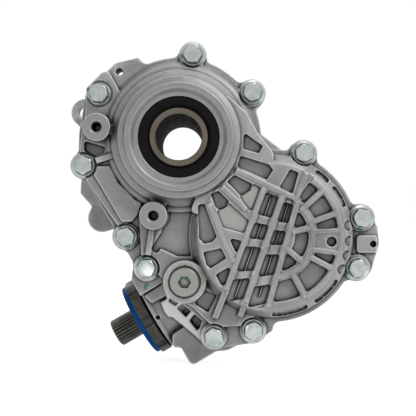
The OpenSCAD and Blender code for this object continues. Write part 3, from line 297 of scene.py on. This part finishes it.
def buildPaintDab():
    tree, start, end = newGroup(
        "paintDab",
        [("Centre", vectorSocket, (0.0, 0.0, 0.0)), ("Radius", floatSocket, 0.002),
         ("Before", floatSocket, 0.0)],
        ["Mask"],
    )
    place = coordinate(tree, (-900, 200))
    ragged = addNoise(tree, (-700, -100), Vector=place, **dabLook["ragged"])
    away = measureVector(tree, (-700, 200), "DISTANCE", place, start["Centre"])
    reach = calculate(tree, (-450, 0), "MULTIPLY", ragged, start["Radius"])
    inside = calculate(tree, (-200, 100), "LESS_THAN", away, reach)
    flecks = addNoise(tree, (-450, -300), Vector=place, **dabLook["flecks"])
    cover = mapTo(tree, (-200, -300), flecks, dabLook["cover"])
    patchy = calculate(tree, (0, -100), "MULTIPLY", inside, cover)
    return putOut(tree, end, Mask=calculate(tree, (200, 100), "MAXIMUM", patchy, start["Before"]))


castSkin = buildCastSkin()
edgeMask = buildEdgeMask()
sheltered = buildSheltered()
turningMarks = buildTurningMarks()
handling = buildHandling()
paintDab = buildPaintDab()
print("surface effects ready")


def newMaterial(name):
    material = bpy.data.materials.new(name)
    material.use_nodes = True
    tree = material.node_tree
    shader = tree.nodes["Principled BSDF"]
    return material, tree, shader


def placeGroup(tree, group, place, values):
    # values: the group's inputs by name
    return addNode(tree, "ShaderNodeGroup", place, node_tree=group, **values).outputs


def mixColor(tree, place, low, high, factor):
    # Of a Mix node's sockets, inputs 6 and 7 and output 2 are the ones for colours
    node = addNode(tree, "ShaderNodeMix", place, data_type="RGBA")
    for socket, value in ((node.inputs[6], low), (node.inputs[7], high)):
        feed(tree, socket, (*value, 1.0) if isinstance(value, tuple) else value)
    feed(tree, node.inputs[0], factor)
    return node.outputs[2]


def layOver(tree, under, layers):
    # Each layer is a colour and the mask of where it covers what lies under it
    for index, (color, mask) in enumerate(layers):
        under = mixColor(tree, (-400 + 120 * index, 200), under, color, mask)
    return under


def addBump(tree, place, height, shader, strength, distance):
    bump = addNode(
        tree, "ShaderNodeBump", place, Strength=strength, Distance=distance * mm, Height=height,
    )
    feed(tree, shader.inputs["Normal"], bump.outputs["Normal"])


# Touches of teal marking paint, left on the bolts and the case after tightening
paint = {
    "color": (0.01, 0.15, 0.105),
    "bolts": [
        (1.2, 74.5, 18.0, 5.0), (-79.0, 47.0, 22.0, 4.4), (163.0, -82.0, 17.5, 5.6),
        (150.5, -121.5, 17.5, 5.4), (-46.5, -98.6, 17.5, 4.6), (-31.5, -106.6, 17.5, 4.6),
    ],
    "plug": [(6.4, -126.8, 27.0, 3.4)],
    "cover": [(-29.6, -132.6, 14.0, 3.8), (-31.2, -134.8, 14.0, 3.2)],
}


def paintOver(tree, shader, dabs):
    # Dabs are chained, and their mask covers the colour that the shader had
    mask = 0.0
    for index, (x, y, z, size) in enumerate(dabs):
        values = {"Centre": toFrame(x, y, z), "Radius": size * mm, "Before": mask}
        mask = placeGroup(tree, paintDab, (-900 + 180 * index, 520), values)["Mask"]
    under = shader.inputs["Base Color"].links[0].from_socket
    feed(tree, shader.inputs["Base Color"], mixColor(tree, (160, 420), under, paint["color"], mask))


# The skin of the castings. A span is where a mask starts and where it is full, and a share is how
# much of the colour shows there. Entries that name a group's inputs go to the group as they are
castLook = {
    "metallic": 0.4,
    "specular": 0.25,
    "roughness": (0.42, 0.56),
    "roughSpan": (0.3, 0.7),
    "skin": {"Grain Size": 0.45, "Peel Size": 2.6},
    "bump": 0.35,
    "bumpHeight": 0.16,
    "dark": (0.19, 0.19, 0.186),
    "light": (0.31, 0.31, 0.305),
    "patchSpan": (0.38, 0.62),
    # Bright edges, partly wear and partly a painted highlight, and bright specks of the grain
    "edge": (0.64, 0.645, 0.64),
    "speckSpan": (0.35, 0.75),
    "speckShare": 0.35,
    "bends": {"Spread": 0.05},
    "wornSpan": (0.08, 0.8),
    "wornShare": 0.9,
    # Painted shade: the colour laid in hollows, pockets, on steep walls and along the foot of walls
    "paintedShade": (0.028, 0.028, 0.027),
    "hollowSpan": (0.1, 1.0),
    "hollowShare": 0.8,
    "pockets": {"Reach": 9.0 * mm, "Open": 0.9, "Closed": 0.35, "Floor Share": 0.3},
    "outlines": {"Reach": 3.0 * mm, "Open": 0.91, "Closed": 0.74, "Floor Share": 0.9},
    # Painted light: the lighter tone of the pocket floors that face the viewer
    "flat": (0.4, 0.395, 0.38),
    "milled": (0.8, 0.8, 0.79),
}
# Faces that differ by their height over the joint, in millimetres: the height, how far from it a
# face may lie, and how squarely it faces the viewer
faceLevels = {
    # flatFloor: the pocket floors that face the viewer, painted lighter as painted light
    "flatFloor": (33.5, 0.35, 0.96),
    # ridgeTop: the tops of the low ridges, darkened as painted shade
    "ridgeTop": (31.5, 0.9, 0.4),
    "joint": (0.0, 0.25, 0.96),
}


def levelMask(tree, name):
    height, play, squareness = faceLevels[name]
    level = -(height + layout["gearboxDepth"]) * mm
    where = splitUp(tree, (-920, -640), coordinate(tree, (-1100, -700)))
    lean = splitUp(tree, (-920, -800), coordinate(tree, (-1100, -860), "Normal"))
    near = calculate(tree, (-740, -640), "COMPARE", where["Y"], level, play * mm)
    square = calculate(tree, (-740, -800), "LESS_THAN", lean["Y"], -squareness)
    return calculate(tree, (-560, -720), "MULTIPLY", near, square)


def castMaterial(name, seed, shade=1.0, milled=False):
    look = castLook
    material, tree, shader = newMaterial(name)
    shader.inputs["Metallic"].default_value = look["metallic"]
    shader.inputs["Specular IOR Level"].default_value = look["specular"]
    skin = placeGroup(tree, castSkin, (-900, 200), {**look["skin"], "Seed": seed})
    bends = placeGroup(tree, edgeMask, (-900, -200), look["bends"])
    deep = placeGroup(tree, sheltered, (-650, -600), look["pockets"])
    outlines = placeGroup(tree, sheltered, (-650, -800), look["outlines"])

    specks = mapTo(tree, (-650, 0), skin["Tone"], look["speckSpan"], (0.0, look["speckShare"]))
    # Bright edges: partly wear and partly a painted highlight on the crests of ribs and fillets
    edges = mapTo(tree, (-650, -150), bends["Edge"], look["wornSpan"], (0.0, look["wornShare"]))
    wearAndHighlight = calculate(tree, (-480, -150), "MULTIPLY", edges, deep["Exposed"])
    # Painted shade in the hollows where the surface bends in
    hollows = mapTo(tree, (-650, -350), bends["Hollow"], look["hollowSpan"], (0.0, look["hollowShare"]))
    layers = [(look["edge"], specks), (look["edge"], wearAndHighlight), (look["paintedShade"], hollows)]
    if not milled:
        # The tops of the low ridges in the narrow pockets are darkened, a painted shade line
        ridges = levelMask(tree, "ridgeTop")
        ridgeShade = calculate(tree, (-100, -520), "SUBTRACT", ridges, deep["Exposed"], use_clamp=True)
        # The pocket floors that face the viewer are painted lighter, a painted light
        layers += [(look["flat"], levelMask(tree, "flatFloor")), (look["paintedShade"], ridgeShade)]
    # Painted shade in the pockets, on their steep walls, and along the foot of walls
    layers += [(look["paintedShade"], deep["Mask"]), (look["paintedShade"], outlines["Mask"])]
    if milled:
        layers.append((look["milled"], levelMask(tree, "joint")))

    dark, light = (tuple(shade * part for part in look[tone]) for tone in ("dark", "light"))
    patches = mapTo(tree, (-650, 200), skin["Patches"], look["patchSpan"])
    base = mixColor(tree, (-520, 200), dark, light, patches)
    feed(tree, shader.inputs["Base Color"], layOver(tree, base, layers))
    rough = mapTo(tree, (-280, -100), skin["Patches"], look["roughSpan"], look["roughness"])
    feed(tree, shader.inputs["Roughness"], rough)
    addBump(tree, (-100, -300), skin["Height"], shader, look["bump"], look["bumpHeight"])
    return material


# Steel, rubber and plastic finishes: two tones, roughness range, metal, and how turned they are.
# Some have bright edges, partly wear and partly a painted highlight, and a painted shade in their
# corners: how far it reaches in millimetres, and how open and how closed in a place is where it starts
# and is full
finishes = {
    "zinc_steel": {
        "tones": ((0.34, 0.368, 0.37), (0.44, 0.475, 0.475)), "roughness": (0.32, 0.44),
        "metallic": 1.0, "marks": "handling", "size": 9.0, "bump": 0.1,
        # Bolts: a painted highlight on the rims and a painted shade round the foot of the hex
        "edge": (0.85, 0.88, 0.88), "grime": (0.03, 0.034, 0.034), "corners": (3.0, 0.88, 0.6),
    },
    "machined_steel": {
        "tones": ((0.075, 0.067, 0.055), (0.17, 0.155, 0.13)), "roughness": (0.28, 0.42),
        "metallic": 1.0, "marks": "turned", "size": 0.3, "bump": 0.25,
    },
    "dark_steel": {
        "tones": ((0.042, 0.038, 0.033), (0.066, 0.06, 0.052)), "roughness": (0.38, 0.5),
        "metallic": 0.65, "marks": "handling", "size": 8.0, "bump": 0.2, "specular": 0.3,
        "edge": (0.15, 0.14, 0.125), "grime": (0.014, 0.013, 0.012), "corners": (6.0, 0.97, 0.7),
    },
    "gear_steel": {
        "tones": ((0.2, 0.205, 0.205), (0.33, 0.335, 0.335)), "roughness": (0.3, 0.42),
        "metallic": 1.0, "marks": "handling", "size": 8.0, "bump": 0.15,
    },
    "bearing_steel": {
        "tones": ((0.2, 0.2, 0.195), (0.32, 0.32, 0.31)), "roughness": (0.34, 0.46),
        "metallic": 1.0, "marks": "turned", "size": 0.2, "bump": 0.12,
    },
    "copper": {
        "tones": ((0.2, 0.12, 0.08), (0.34, 0.22, 0.15)), "roughness": (0.36, 0.5),
        "metallic": 1.0, "marks": "turned", "size": 0.4, "bump": 0.15,
    },
    "black_rubber": {
        "tones": ((0.003, 0.003, 0.003), (0.007, 0.007, 0.007)), "roughness": (0.6, 0.75),
        "metallic": 0.0, "marks": "turned", "size": 0.6, "bump": 0.3, "specular": 0.1,
    },
    "blue_rubber": {
        "tones": ((0.004, 0.085, 0.34), (0.008, 0.125, 0.46)), "roughness": (0.5, 0.62),
        "metallic": 0.0, "marks": "handling", "size": 2.0, "bump": 0.25, "specular": 0.12,
    },
    "black_plastic": {
        "tones": ((0.014, 0.014, 0.014), (0.032, 0.032, 0.032)), "roughness": (0.42, 0.56),
        "metallic": 0.0, "marks": "handling", "size": 4.0, "bump": 0.3, "specular": 0.3,
    },
}
# Pieces that differ from the rest of their metal: the turned plug, the oiled splines with a painted
# highlight on their ridges and painted shade in their valleys, the shaft's end, and its bore, painted
# near black as shade
ownLooks = {
    "fill_plug": {
        **finishes["zinc_steel"],
        "tones": ((0.21, 0.214, 0.196), (0.3, 0.304, 0.28)), "marks": "turned", "size": 0.5,
        "corners": (5.0, 0.9, 0.45), "centre": toFrame(*layout["fillPlug"]),
    },
    "pinion_shaft": {
        **finishes["dark_steel"],
        "tones": ((0.062, 0.058, 0.052), (0.09, 0.085, 0.076)), "roughness": (0.24, 0.34),
        "metallic": 0.9, "edge": (0.85, 0.81, 0.73), "grime": (0.002, 0.002, 0.002),
        "corners": (1.2, 0.9, 0.6),
    },
    "input_shaft": {
        **finishes["machined_steel"],
        "tones": ((0.08, 0.071, 0.057), (0.18, 0.16, 0.13)), "roughness": (0.2, 0.32),
    },
    "shaft_bore": {
        "tones": ((0.014, 0.014, 0.013), (0.034, 0.034, 0.032)), "roughness": (0.6, 0.8),
        "metallic": 0.0, "marks": "handling", "size": 3.0, "bump": 0.3, "specular": 0.02,
    },
}
# What all of these finishes share
finishDetail = {
    "specular": 0.5,
    "centre": toFrame(0, 0),
    "toneSpan": (0.25, 0.75),
    "scratches": 0.6,
    "bends": {"Spread": 0.12},
    "wornSpan": (0.2, 1.0),
    "wornShare": 0.8,
    "floorShare": 0.9,
    "bumpHeight": 0.05,
}


def finishMaterial(name, look):
    look = {**finishDetail, **look}
    material, tree, shader = newMaterial(name)
    shader.inputs["Metallic"].default_value = look["metallic"]
    shader.inputs["Specular IOR Level"].default_value = look["specular"]
    if look["marks"] == "turned":
        values = {"Centre": look["centre"], "Ring Width": look["size"]}
        marks = placeGroup(tree, turningMarks, (-900, 200), values)
        tone = marks["Tone"]
    else:
        values = {"Smudge Size": look["size"], "Scratches": look["scratches"]}
        marks = placeGroup(tree, handling, (-900, 200), values)
        tone = marks["Smudge"]
    layers = []
    # Bright edges, partly wear and partly a painted highlight
    if "edge" in look:
        bends = placeGroup(tree, edgeMask, (-650, 420), look["bends"])
        wearAndHighlight = mapTo(tree, (-450, 420), bends["Edge"], look["wornSpan"], (0.0, look["wornShare"]))
        layers.append((look["edge"], wearAndHighlight))
    # Painted shade in the corners
    if "corners" in look:
        reach, opened, closed = look["corners"]
        values = {"Reach": reach * mm, "Open": opened, "Closed": closed}
        values["Floor Share"] = look["floorShare"]
        corners = placeGroup(tree, sheltered, (-650, 620), values)
        layers.append((look["grime"], corners["Mask"]))
    base = mixColor(tree, (-520, 200), *look["tones"], mapTo(tree, (-650, 200), tone, look["toneSpan"]))
    feed(tree, shader.inputs["Base Color"], layOver(tree, base, layers))
    smooth, rough = look["roughness"]
    roughness = mapTo(tree, (-400, 0), tone, look["toneSpan"], (rough, smooth))
    feed(tree, shader.inputs["Roughness"], roughness)
    addBump(tree, (-400, -250), marks["Height"], shader, look["bump"], look["bumpHeight"])
    return material


castSlot = "cast_aluminium"
materials = {slot: finishMaterial(slot, look) for slot, look in (finishes | ownLooks).items()}
materials[castSlot] = castMaterial("castAluminium", seed=0.0)
caseMaterial = castMaterial("castAluminiumCase", seed=3.7, shade=0.92, milled=True)
for slot, place in (("zinc_steel", "bolts"), ("fill_plug", "plug"), (castSlot, "cover")):
    tree = materials[slot].node_tree
    paintOver(tree, tree.nodes["Principled BSDF"], paint[place])
for entry in frame["record"]["subparts"]:
    node = frame["nodes"][entry["node"]]
    node.data.materials.clear()
    node.data.materials.append(materials.get(entry["node"], materials[entry["material_slot"]]))
print("finishes on all nodes")


# Drafted crowns on the ribs of the dome, and the sloping floors of its rim slots: points and
# radii in millimetres and directions in degrees, seen from the transfer axis
ribCrowns = {
    "height": 1.0,
    "sunk": 0.3,
    "foot": 5.6,
    "top": 3.2,
    "lap": 0.4,
    "lines": [
        [(-7.5, 42.8), (-40.9, -46.5)],
        [(8.7, 35.9), (-23.5, -57.4)],
        [(22.3, 31.3), (-3.7, -61.9)],
        [(-32.3, 58.6), (-6.8, 46.2), (21.6, 33.2)],
        [(20.4, 31.4), (29.9, 56.2)],
        [(-44.6, 43.2), (-24.0, 24.1)],
        [(-56.0, 28.0), (-48.3, 8.0), (-41.5, -8.0), (-34.5, -22.0)],
        [(37.0, 4.2), (59.5, 5.3)],
        [(34.7, -11.8), (57.1, -14.8)],
        [(18.0, 4.2), (35.0, 8.1)],
        [(12.0, -10.4), (27.2, -23.6)],
    ],
    "spokes": [42.5, 20, -28.5, -61.5],
    "arcs": [(36.0, -86, 44), (61.2, -60, 54)],
    "step": 6,
}
rimFloors = {
    "slots": [(22, 39), (44, 56), (-90, -63), (-57, -34)],
    "inner": (67.0, 27.5),
    "outer": (72.6, 20.5),
    "under": 15.0,
    "lap": 1.5,
}
# A skin that closes the low ear of the case towards the viewer
earSkin = {"place": (-79.5, -72.6), "radius": 7.2, "levels": (-74.5, -70.1), "sides": 32}


def roundAxis(radius, degrees):
    angle = math.radians(degrees)
    return Vector((radius * math.cos(angle), radius * math.sin(angle)))


def addBlock(shape, low, high, axis=layout["transferAxis"]):
    # low and high: as many corners each, in order round the block, seen from the axis
    rings = []
    for ring in (low, high):
        rings.append([shape.verts.new(toFrame(x + axis[0], y + axis[1], z)) for x, y, z in ring])
    shape.faces.new(rings[0][::-1])
    shape.faces.new(rings[1])
    for k in range(len(low)):
        after = (k + 1) % len(low)
        shape.faces.new((rings[0][k], rings[0][after], rings[1][after], rings[1][k]))


def addCrown(shape, start, end):
    along = (end - start).normalized()
    across = Vector((-along.y, along.x))
    lap = along * ribCrowns["lap"]
    rings = []
    for width, level in (("foot", -ribCrowns["sunk"]), ("top", ribCrowns["height"])):
        half = across * ribCrowns[width] / 2
        corners = (start - lap - half, end + lap - half, end + lap + half, start - lap + half)
        rings.append([(*corner, layout["domeHeight"] + level) for corner in corners])
    addBlock(shape, *rings)


def addRibCrowns(shape):
    runs = [[Vector(point) for point in line] for line in ribCrowns["lines"]]
    for direction in ribCrowns["spokes"]:
        runs.append([roundAxis(arc[0], direction) for arc in ribCrowns["arcs"]])
    for radius, first, last in ribCrowns["arcs"]:
        steps = round((last - first) / ribCrowns["step"])
        turns = [first + (last - first) * k / steps for k in range(steps + 1)]
        runs.append([roundAxis(radius, turn) for turn in turns])
    for run in runs:
        for start, end in zip(run, run[1:]):
            addCrown(shape, start, end)


def addRimFloors(shape):
    lap = rimFloors["lap"]
    for first, last in rimFloors["slots"]:
        steps = math.ceil((last - first) / ribCrowns["step"])
        turns = [first - lap + (last - first + 2 * lap) * k / steps for k in range(steps + 1)]
        for before, after in zip(turns, turns[1:]):
            tops = []
            for turn, (radius, level) in (
                (before, rimFloors["inner"]), (before, rimFloors["outer"]),
                (after, rimFloors["outer"]), (after, rimFloors["inner"]),
            ):
                tops.append((*roundAxis(radius, turn), level))
            addBlock(shape, [(x, y, rimFloors["under"]) for x, y, level in tops], tops)


def addEarSkin(shape):
    turns = [360.0 * k / earSkin["sides"] for k in range(earSkin["sides"])]
    corners = [roundAxis(earSkin["radius"], turn) for turn in turns]
    rings = [[(*corner, level) for corner in corners] for level in earSkin["levels"]]
    addBlock(shape, *rings, axis=earSkin["place"])


# Cast pieces: soft fillets, as a sand or die casting has, made from the CAD's own shape.
castings = {
    "coverCasting": {
        "node": "front_cover", "voxel": 0.7, "rounds": 3, "faces": 195000,
        "material": materials[castSlot], "details": [addRibCrowns, addRimFloors],
    },
    "caseCasting": {
        "node": "rear_housing", "voxel": 0.8, "rounds": 3, "faces": 190000,
        "material": caseMaterial, "details": [addEarSkin],
    },
}
rounding = {"smooth": 0.5, "quickVoxel": 1.6}


def newPiece(name, data):
    piece = bpy.data.objects.new(name, data)
    scene.collection.objects.link(piece)
    return piece


def applyModifier(piece, kind, **settings):
    modifier = piece.modifiers.new(kind.lower(), kind)
    for key, value in settings.items():
        setattr(modifier, key, value)
    view = bpy.context.evaluated_depsgraph_get()
    view.update()
    result = bpy.data.meshes.new_from_object(piece.evaluated_get(view))
    old = piece.data
    piece.modifiers.clear()
    piece.data = result
    bpy.data.meshes.remove(old)


def softCasting(name, look):
    mesh = frame["nodes"][look["node"]].data.copy()
    mesh.name = name
    shape = bmesh.new()
    shape.from_mesh(mesh)
    for addDetail in look["details"]:
        addDetail(shape)
    shape.to_mesh(mesh)
    shape.free()
    piece = newPiece(name, mesh)
    voxel = look["voxel"] * mm * 1.0
    applyModifier(piece, "REMESH", mode="VOXEL", voxel_size=voxel)
    applyModifier(piece, "SMOOTH", factor=rounding["smooth"], iterations=look["rounds"])
    count = sum(len(face.vertices) - 2 for face in piece.data.polygons)
    if count > look["faces"]:
        applyModifier(piece, "DECIMATE", ratio=look["faces"] / count)
    piece.data.materials.clear()
    piece.data.materials.append(look["material"])
    for face in piece.data.polygons:
        face.use_smooth = True
    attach(piece, "housing")
    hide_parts(look["node"])
    print(name, count, "->", len(piece.data.polygons), "faces")


for name, look in castings.items():
    softCasting(name, look)
print("castings ready")


# Turned, forged and moulded pieces: small broken edges on the CAD's own shape, in millimetres
brokenEdges = {
    "cover_bolts": 0.3,
    "fill_plug": 0.45,
    "fill_plug_washer": 0.2,
    "nose_ring_nut": 0.4,
    "nose_washer": 0.3,
    "nose_seal": 0.5,
    "half_shaft_seal_lip": 0.2,
    "input_shaft": 0.45,
}
# Corners nearer than join become one, edges that bend less than flat go, and edges that bend more
# than sharp are broken, in millimetres and degrees. The last two tell the faces of the shaft's
# bore: how far they may lean, and how far outside its radius they may lie
edgeRules = {"join": 0.002, "flat": 0.6, "sharp": 28, "segments": 2, "boreLean": 0.3, "borePlay": 0.1}
slotOf = {entry["node"]: entry["material_slot"] for entry in frame["record"]["subparts"]}
bodyOf = {}
for body, names in frame["record"]["behaviour"]["bodies"].items():
    bodyOf.update({name: body for name in names})


def addBevel(piece, width, sharp):
    bevel = piece.modifiers.new("edges", "BEVEL")
    bevel.width = width * mm
    bevel.segments = edgeRules["segments"]
    bevel.limit_method = "ANGLE"
    bevel.angle_limit = math.radians(sharp)
    bevel.harden_normals = True
    return bevel


def cleanShape(source, name):
    shape = bmesh.new()
    shape.from_mesh(source)
    bmesh.ops.remove_doubles(shape, verts=shape.verts, dist=edgeRules["join"] * mm)
    flat = math.radians(edgeRules["flat"])
    bmesh.ops.dissolve_limit(shape, angle_limit=flat, verts=shape.verts, edges=shape.edges)
    sharp = math.radians(edgeRules["sharp"])
    for face in shape.faces:
        face.smooth = True
    for edge in shape.edges:
        edge.smooth = edge.calc_face_angle(0.0) < sharp
    mesh = bpy.data.meshes.new(name)
    shape.to_mesh(mesh)
    shape.free()
    return mesh


def blackenBore(mesh):
    # The bore is painted near black, a painted shade for the dark inside of the bore
    mesh.materials.append(materials["shaft_bore"])
    reach = (layout["shaftBore"] + edgeRules["borePlay"]) * mm
    for face in mesh.polygons:
        away = math.hypot(face.center.x, face.center.z)
        if abs(face.normal.y) < edgeRules["boreLean"] and away < reach:
            face.material_index = 1


def breakEdges(name, width):
    mesh = cleanShape(frame["nodes"][name].data, name + "Finished")
    mesh.materials.append(materials.get(name, materials[slotOf[name]]))
    if name == "input_shaft":
        blackenBore(mesh)
    piece = newPiece(name + "Finished", mesh)
    bevel = addBevel(piece, width, edgeRules["sharp"])
    # The shaft's broken edges take the bore's near black, a painted shade line along them
    bevel.material = len(mesh.materials) - 1  # so the shaft's broken edges are as black as its bore
    level = piece.modifiers.new("normals", "WEIGHTED_NORMAL")
    level.keep_sharp = True
    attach(piece, bodyOf[name])
    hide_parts(name)


for name, width in brokenEdges.items():
    breakEdges(name, width)
print("broken edges on", len(brokenEdges), "pieces")


# Machined faces lie over the cast skin, turned round the boss and the tapped bosses. Gap is how
# far they stand off the skin, and edge and sharp are their broken edges. Then come the small
# chamfers and insets of each, in millimetres
machined = {
    "tones": ((0.23, 0.233, 0.233), (0.34, 0.344, 0.344)), "roughness": (0.24, 0.36),
    "metallic": 0.55, "marks": "turned", "size": 0.35, "bump": 0.35,
}
turnedFaces = {"sides": 160, "gap": 0.06, "edge": 0.25, "sharp": 35}
bossFace = {"sealLip": 1.5, "sealChamfer": 0.5, "rim": 0.5, "rimFall": 0.6}
bracketFace = {"depth": 12.0, "chamfer": 1.8, "rim": 0.8, "holeGap": 0.03}


def latheProfile(name, profile, centre, material):
    # profile: radius and height pairs, turned round an axis that points to the viewer
    mesh = bpy.data.meshes.new(name)
    shape = bmesh.new()
    sides = turnedFaces["sides"]
    rings = []
    for radius, height in profile:
        ring = []
        for k in range(sides):
            x, y = roundAxis(radius, 360.0 * k / sides)
            ring.append(shape.verts.new(toFrame(centre[0] + x, centre[1] + y, height)))
        rings.append(ring)
    for first, second in zip(rings, rings[1:]):
        for k in range(sides):
            after = (k + 1) % sides
            shape.faces.new((first[k], first[after], second[after], second[k]))
    bmesh.ops.recalc_face_normals(shape, faces=shape.faces)
    for face in shape.faces:
        face.smooth = True
    shape.to_mesh(mesh)
    shape.free()
    mesh.materials.append(material)
    piece = newPiece(name, mesh)
    addBevel(piece, turnedFaces["edge"], turnedFaces["sharp"])
    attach(piece, "housing")


def turnBoss():
    gap = turnedFaces["gap"]
    top = layout["bossHeight"] + gap
    floor = top - layout["recessDepth"]
    seal = layout["sealRadius"]
    profile = [
        (seal - gap, floor - bossFace["sealLip"]),
        (seal - gap, floor - bossFace["sealChamfer"]),
        (seal + bossFace["sealChamfer"], floor),
        (layout["recessRadius"], floor),
        (layout["recessRadius"] + layout["recessDepth"] - gap, top),
        (layout["bossRadius"] - bossFace["rim"], top),
        (layout["bossRadius"] + gap, top - bossFace["rimFall"]),
    ]
    latheProfile("bossFace", profile, (0.0, 0.0), finishMaterial("machinedBoss", machined))


def turnBracket(index, place):
    top = layout["bracketHeight"] + turnedFaces["gap"]
    hole = layout["bracketHole"]
    profile = [
        (hole - bracketFace["holeGap"], top - bracketFace["depth"]),
        (hole - bracketFace["holeGap"], top - bracketFace["chamfer"]),
        (hole + bracketFace["chamfer"], top),
        (layout["bracketRadius"] - bracketFace["rim"], top),
    ]
    material = finishMaterial("machinedBracket%d" % index, {**machined, "centre": toFrame(*place)})
    latheProfile("bracketFace%d" % index, profile, place, material)


turnBoss()
for index, place in enumerate(layout["bracketBosses"]):
    turnBracket(index, place)
print("machined faces ready")


# Floor, light and camera
stageLook = {"white": (0.86, 0.86, 0.86), "rough": 0.7, "glow": 0.8, "reach": 6.0, "world": 0.15}
lamps = {
    "keyLamp": {"place": (0.8, -1.0, 1.0), "size": 0.6, "power": 12.4},
    "fillLamp": {"place": (-1.2, -1.1, 0.3), "size": 1.0, "power": 1.0},
    "topLamp": {"place": (0.1, 0.0, 1.3), "size": 0.9, "power": 3.5},
    "backLamp": {"place": (-0.9, 1.2, 0.7), "size": 1.0, "power": 5.0},
}
lampTarget = (0.03, -0.09, -0.06)
viewLook = {"place": (0.0258, -0.977, -0.0626), "tilt": 90.0, "sensor": 36.0, "fieldOfView": 24.17}
fullWhite = (1.0, 1.0, 1.0, 1.0)


def whiteToCamera(tree, x, y):
    # White where the camera or a reflection looks, and a plain pale surface for the light
    path = addNode(tree, "ShaderNodeLightPath", (x, y)).outputs
    seen = calculate(tree, (x + 180, y), "MAXIMUM", path["Is Camera Ray"], path["Is Glossy Ray"])
    return calculate(tree, (x + 340, y), "MAXIMUM", seen, path["Is Transmission Ray"])


def buildFloor():
    low = min(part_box(name)[0].z for name in frame["nodes"])
    reach = stageLook["reach"]
    corners = [(-reach, -reach, low), (reach, -reach, low), (reach, reach, low), (-reach, reach, low)]
    mesh = bpy.data.meshes.new("floor")
    mesh.from_pydata(corners, [], [(0, 1, 2, 3)])
    material, tree, shader = newMaterial("floorPale")
    shader.inputs["Base Color"].default_value = (*stageLook["white"], 1.0)
    shader.inputs["Roughness"].default_value = stageLook["rough"]
    shader.inputs["Emission Color"].default_value = fullWhite
    seen = whiteToCamera(tree, -900, 0)
    glow = calculate(tree, (-300, 0), "MULTIPLY", seen, stageLook["glow"])
    feed(tree, shader.inputs["Emission Strength"], glow)
    mesh.materials.append(material)
    newPiece("floor", mesh)


def buildWorld():
    scene.world = bpy.data.worlds.new("studio")
    scene.world.use_nodes = True
    tree = scene.world.node_tree
    background = tree.nodes["Background"]
    background.inputs["Color"].default_value = fullWhite
    seen = whiteToCamera(tree, -900, 200)
    level = mapTo(tree, (-300, 200), seen, (0.0, 1.0), (stageLook["world"], 1.0))
    feed(tree, background.inputs["Strength"], level)


def buildLight():
    for name, look in lamps.items():
        data = bpy.data.lights.new(name, "AREA")
        data.shape = "DISK"
        data.size = look["size"]
        data.energy = look["power"]
        lamp = newPiece(name, data)
        lamp.location = look["place"]
        direction = Vector(lampTarget) - lamp.location
        lamp.rotation_euler = direction.to_track_quat("-Z", "Y").to_euler()


def buildCamera():
    data = bpy.data.cameras.new("photoCamera")
    data.sensor_width = viewLook["sensor"]
    data.lens_unit = "FOV"
    data.angle = math.radians(viewLook["fieldOfView"])
    camera = newPiece("photoCamera", data)
    camera.location = viewLook["place"]
    camera.rotation_euler = (math.radians(viewLook["tilt"]), 0.0, 0.0)
    scene.camera = camera


buildFloor()
buildWorld()
buildLight()
buildCamera()
scene.view_settings.view_transform = "Standard"
print("floor, light and camera ready")
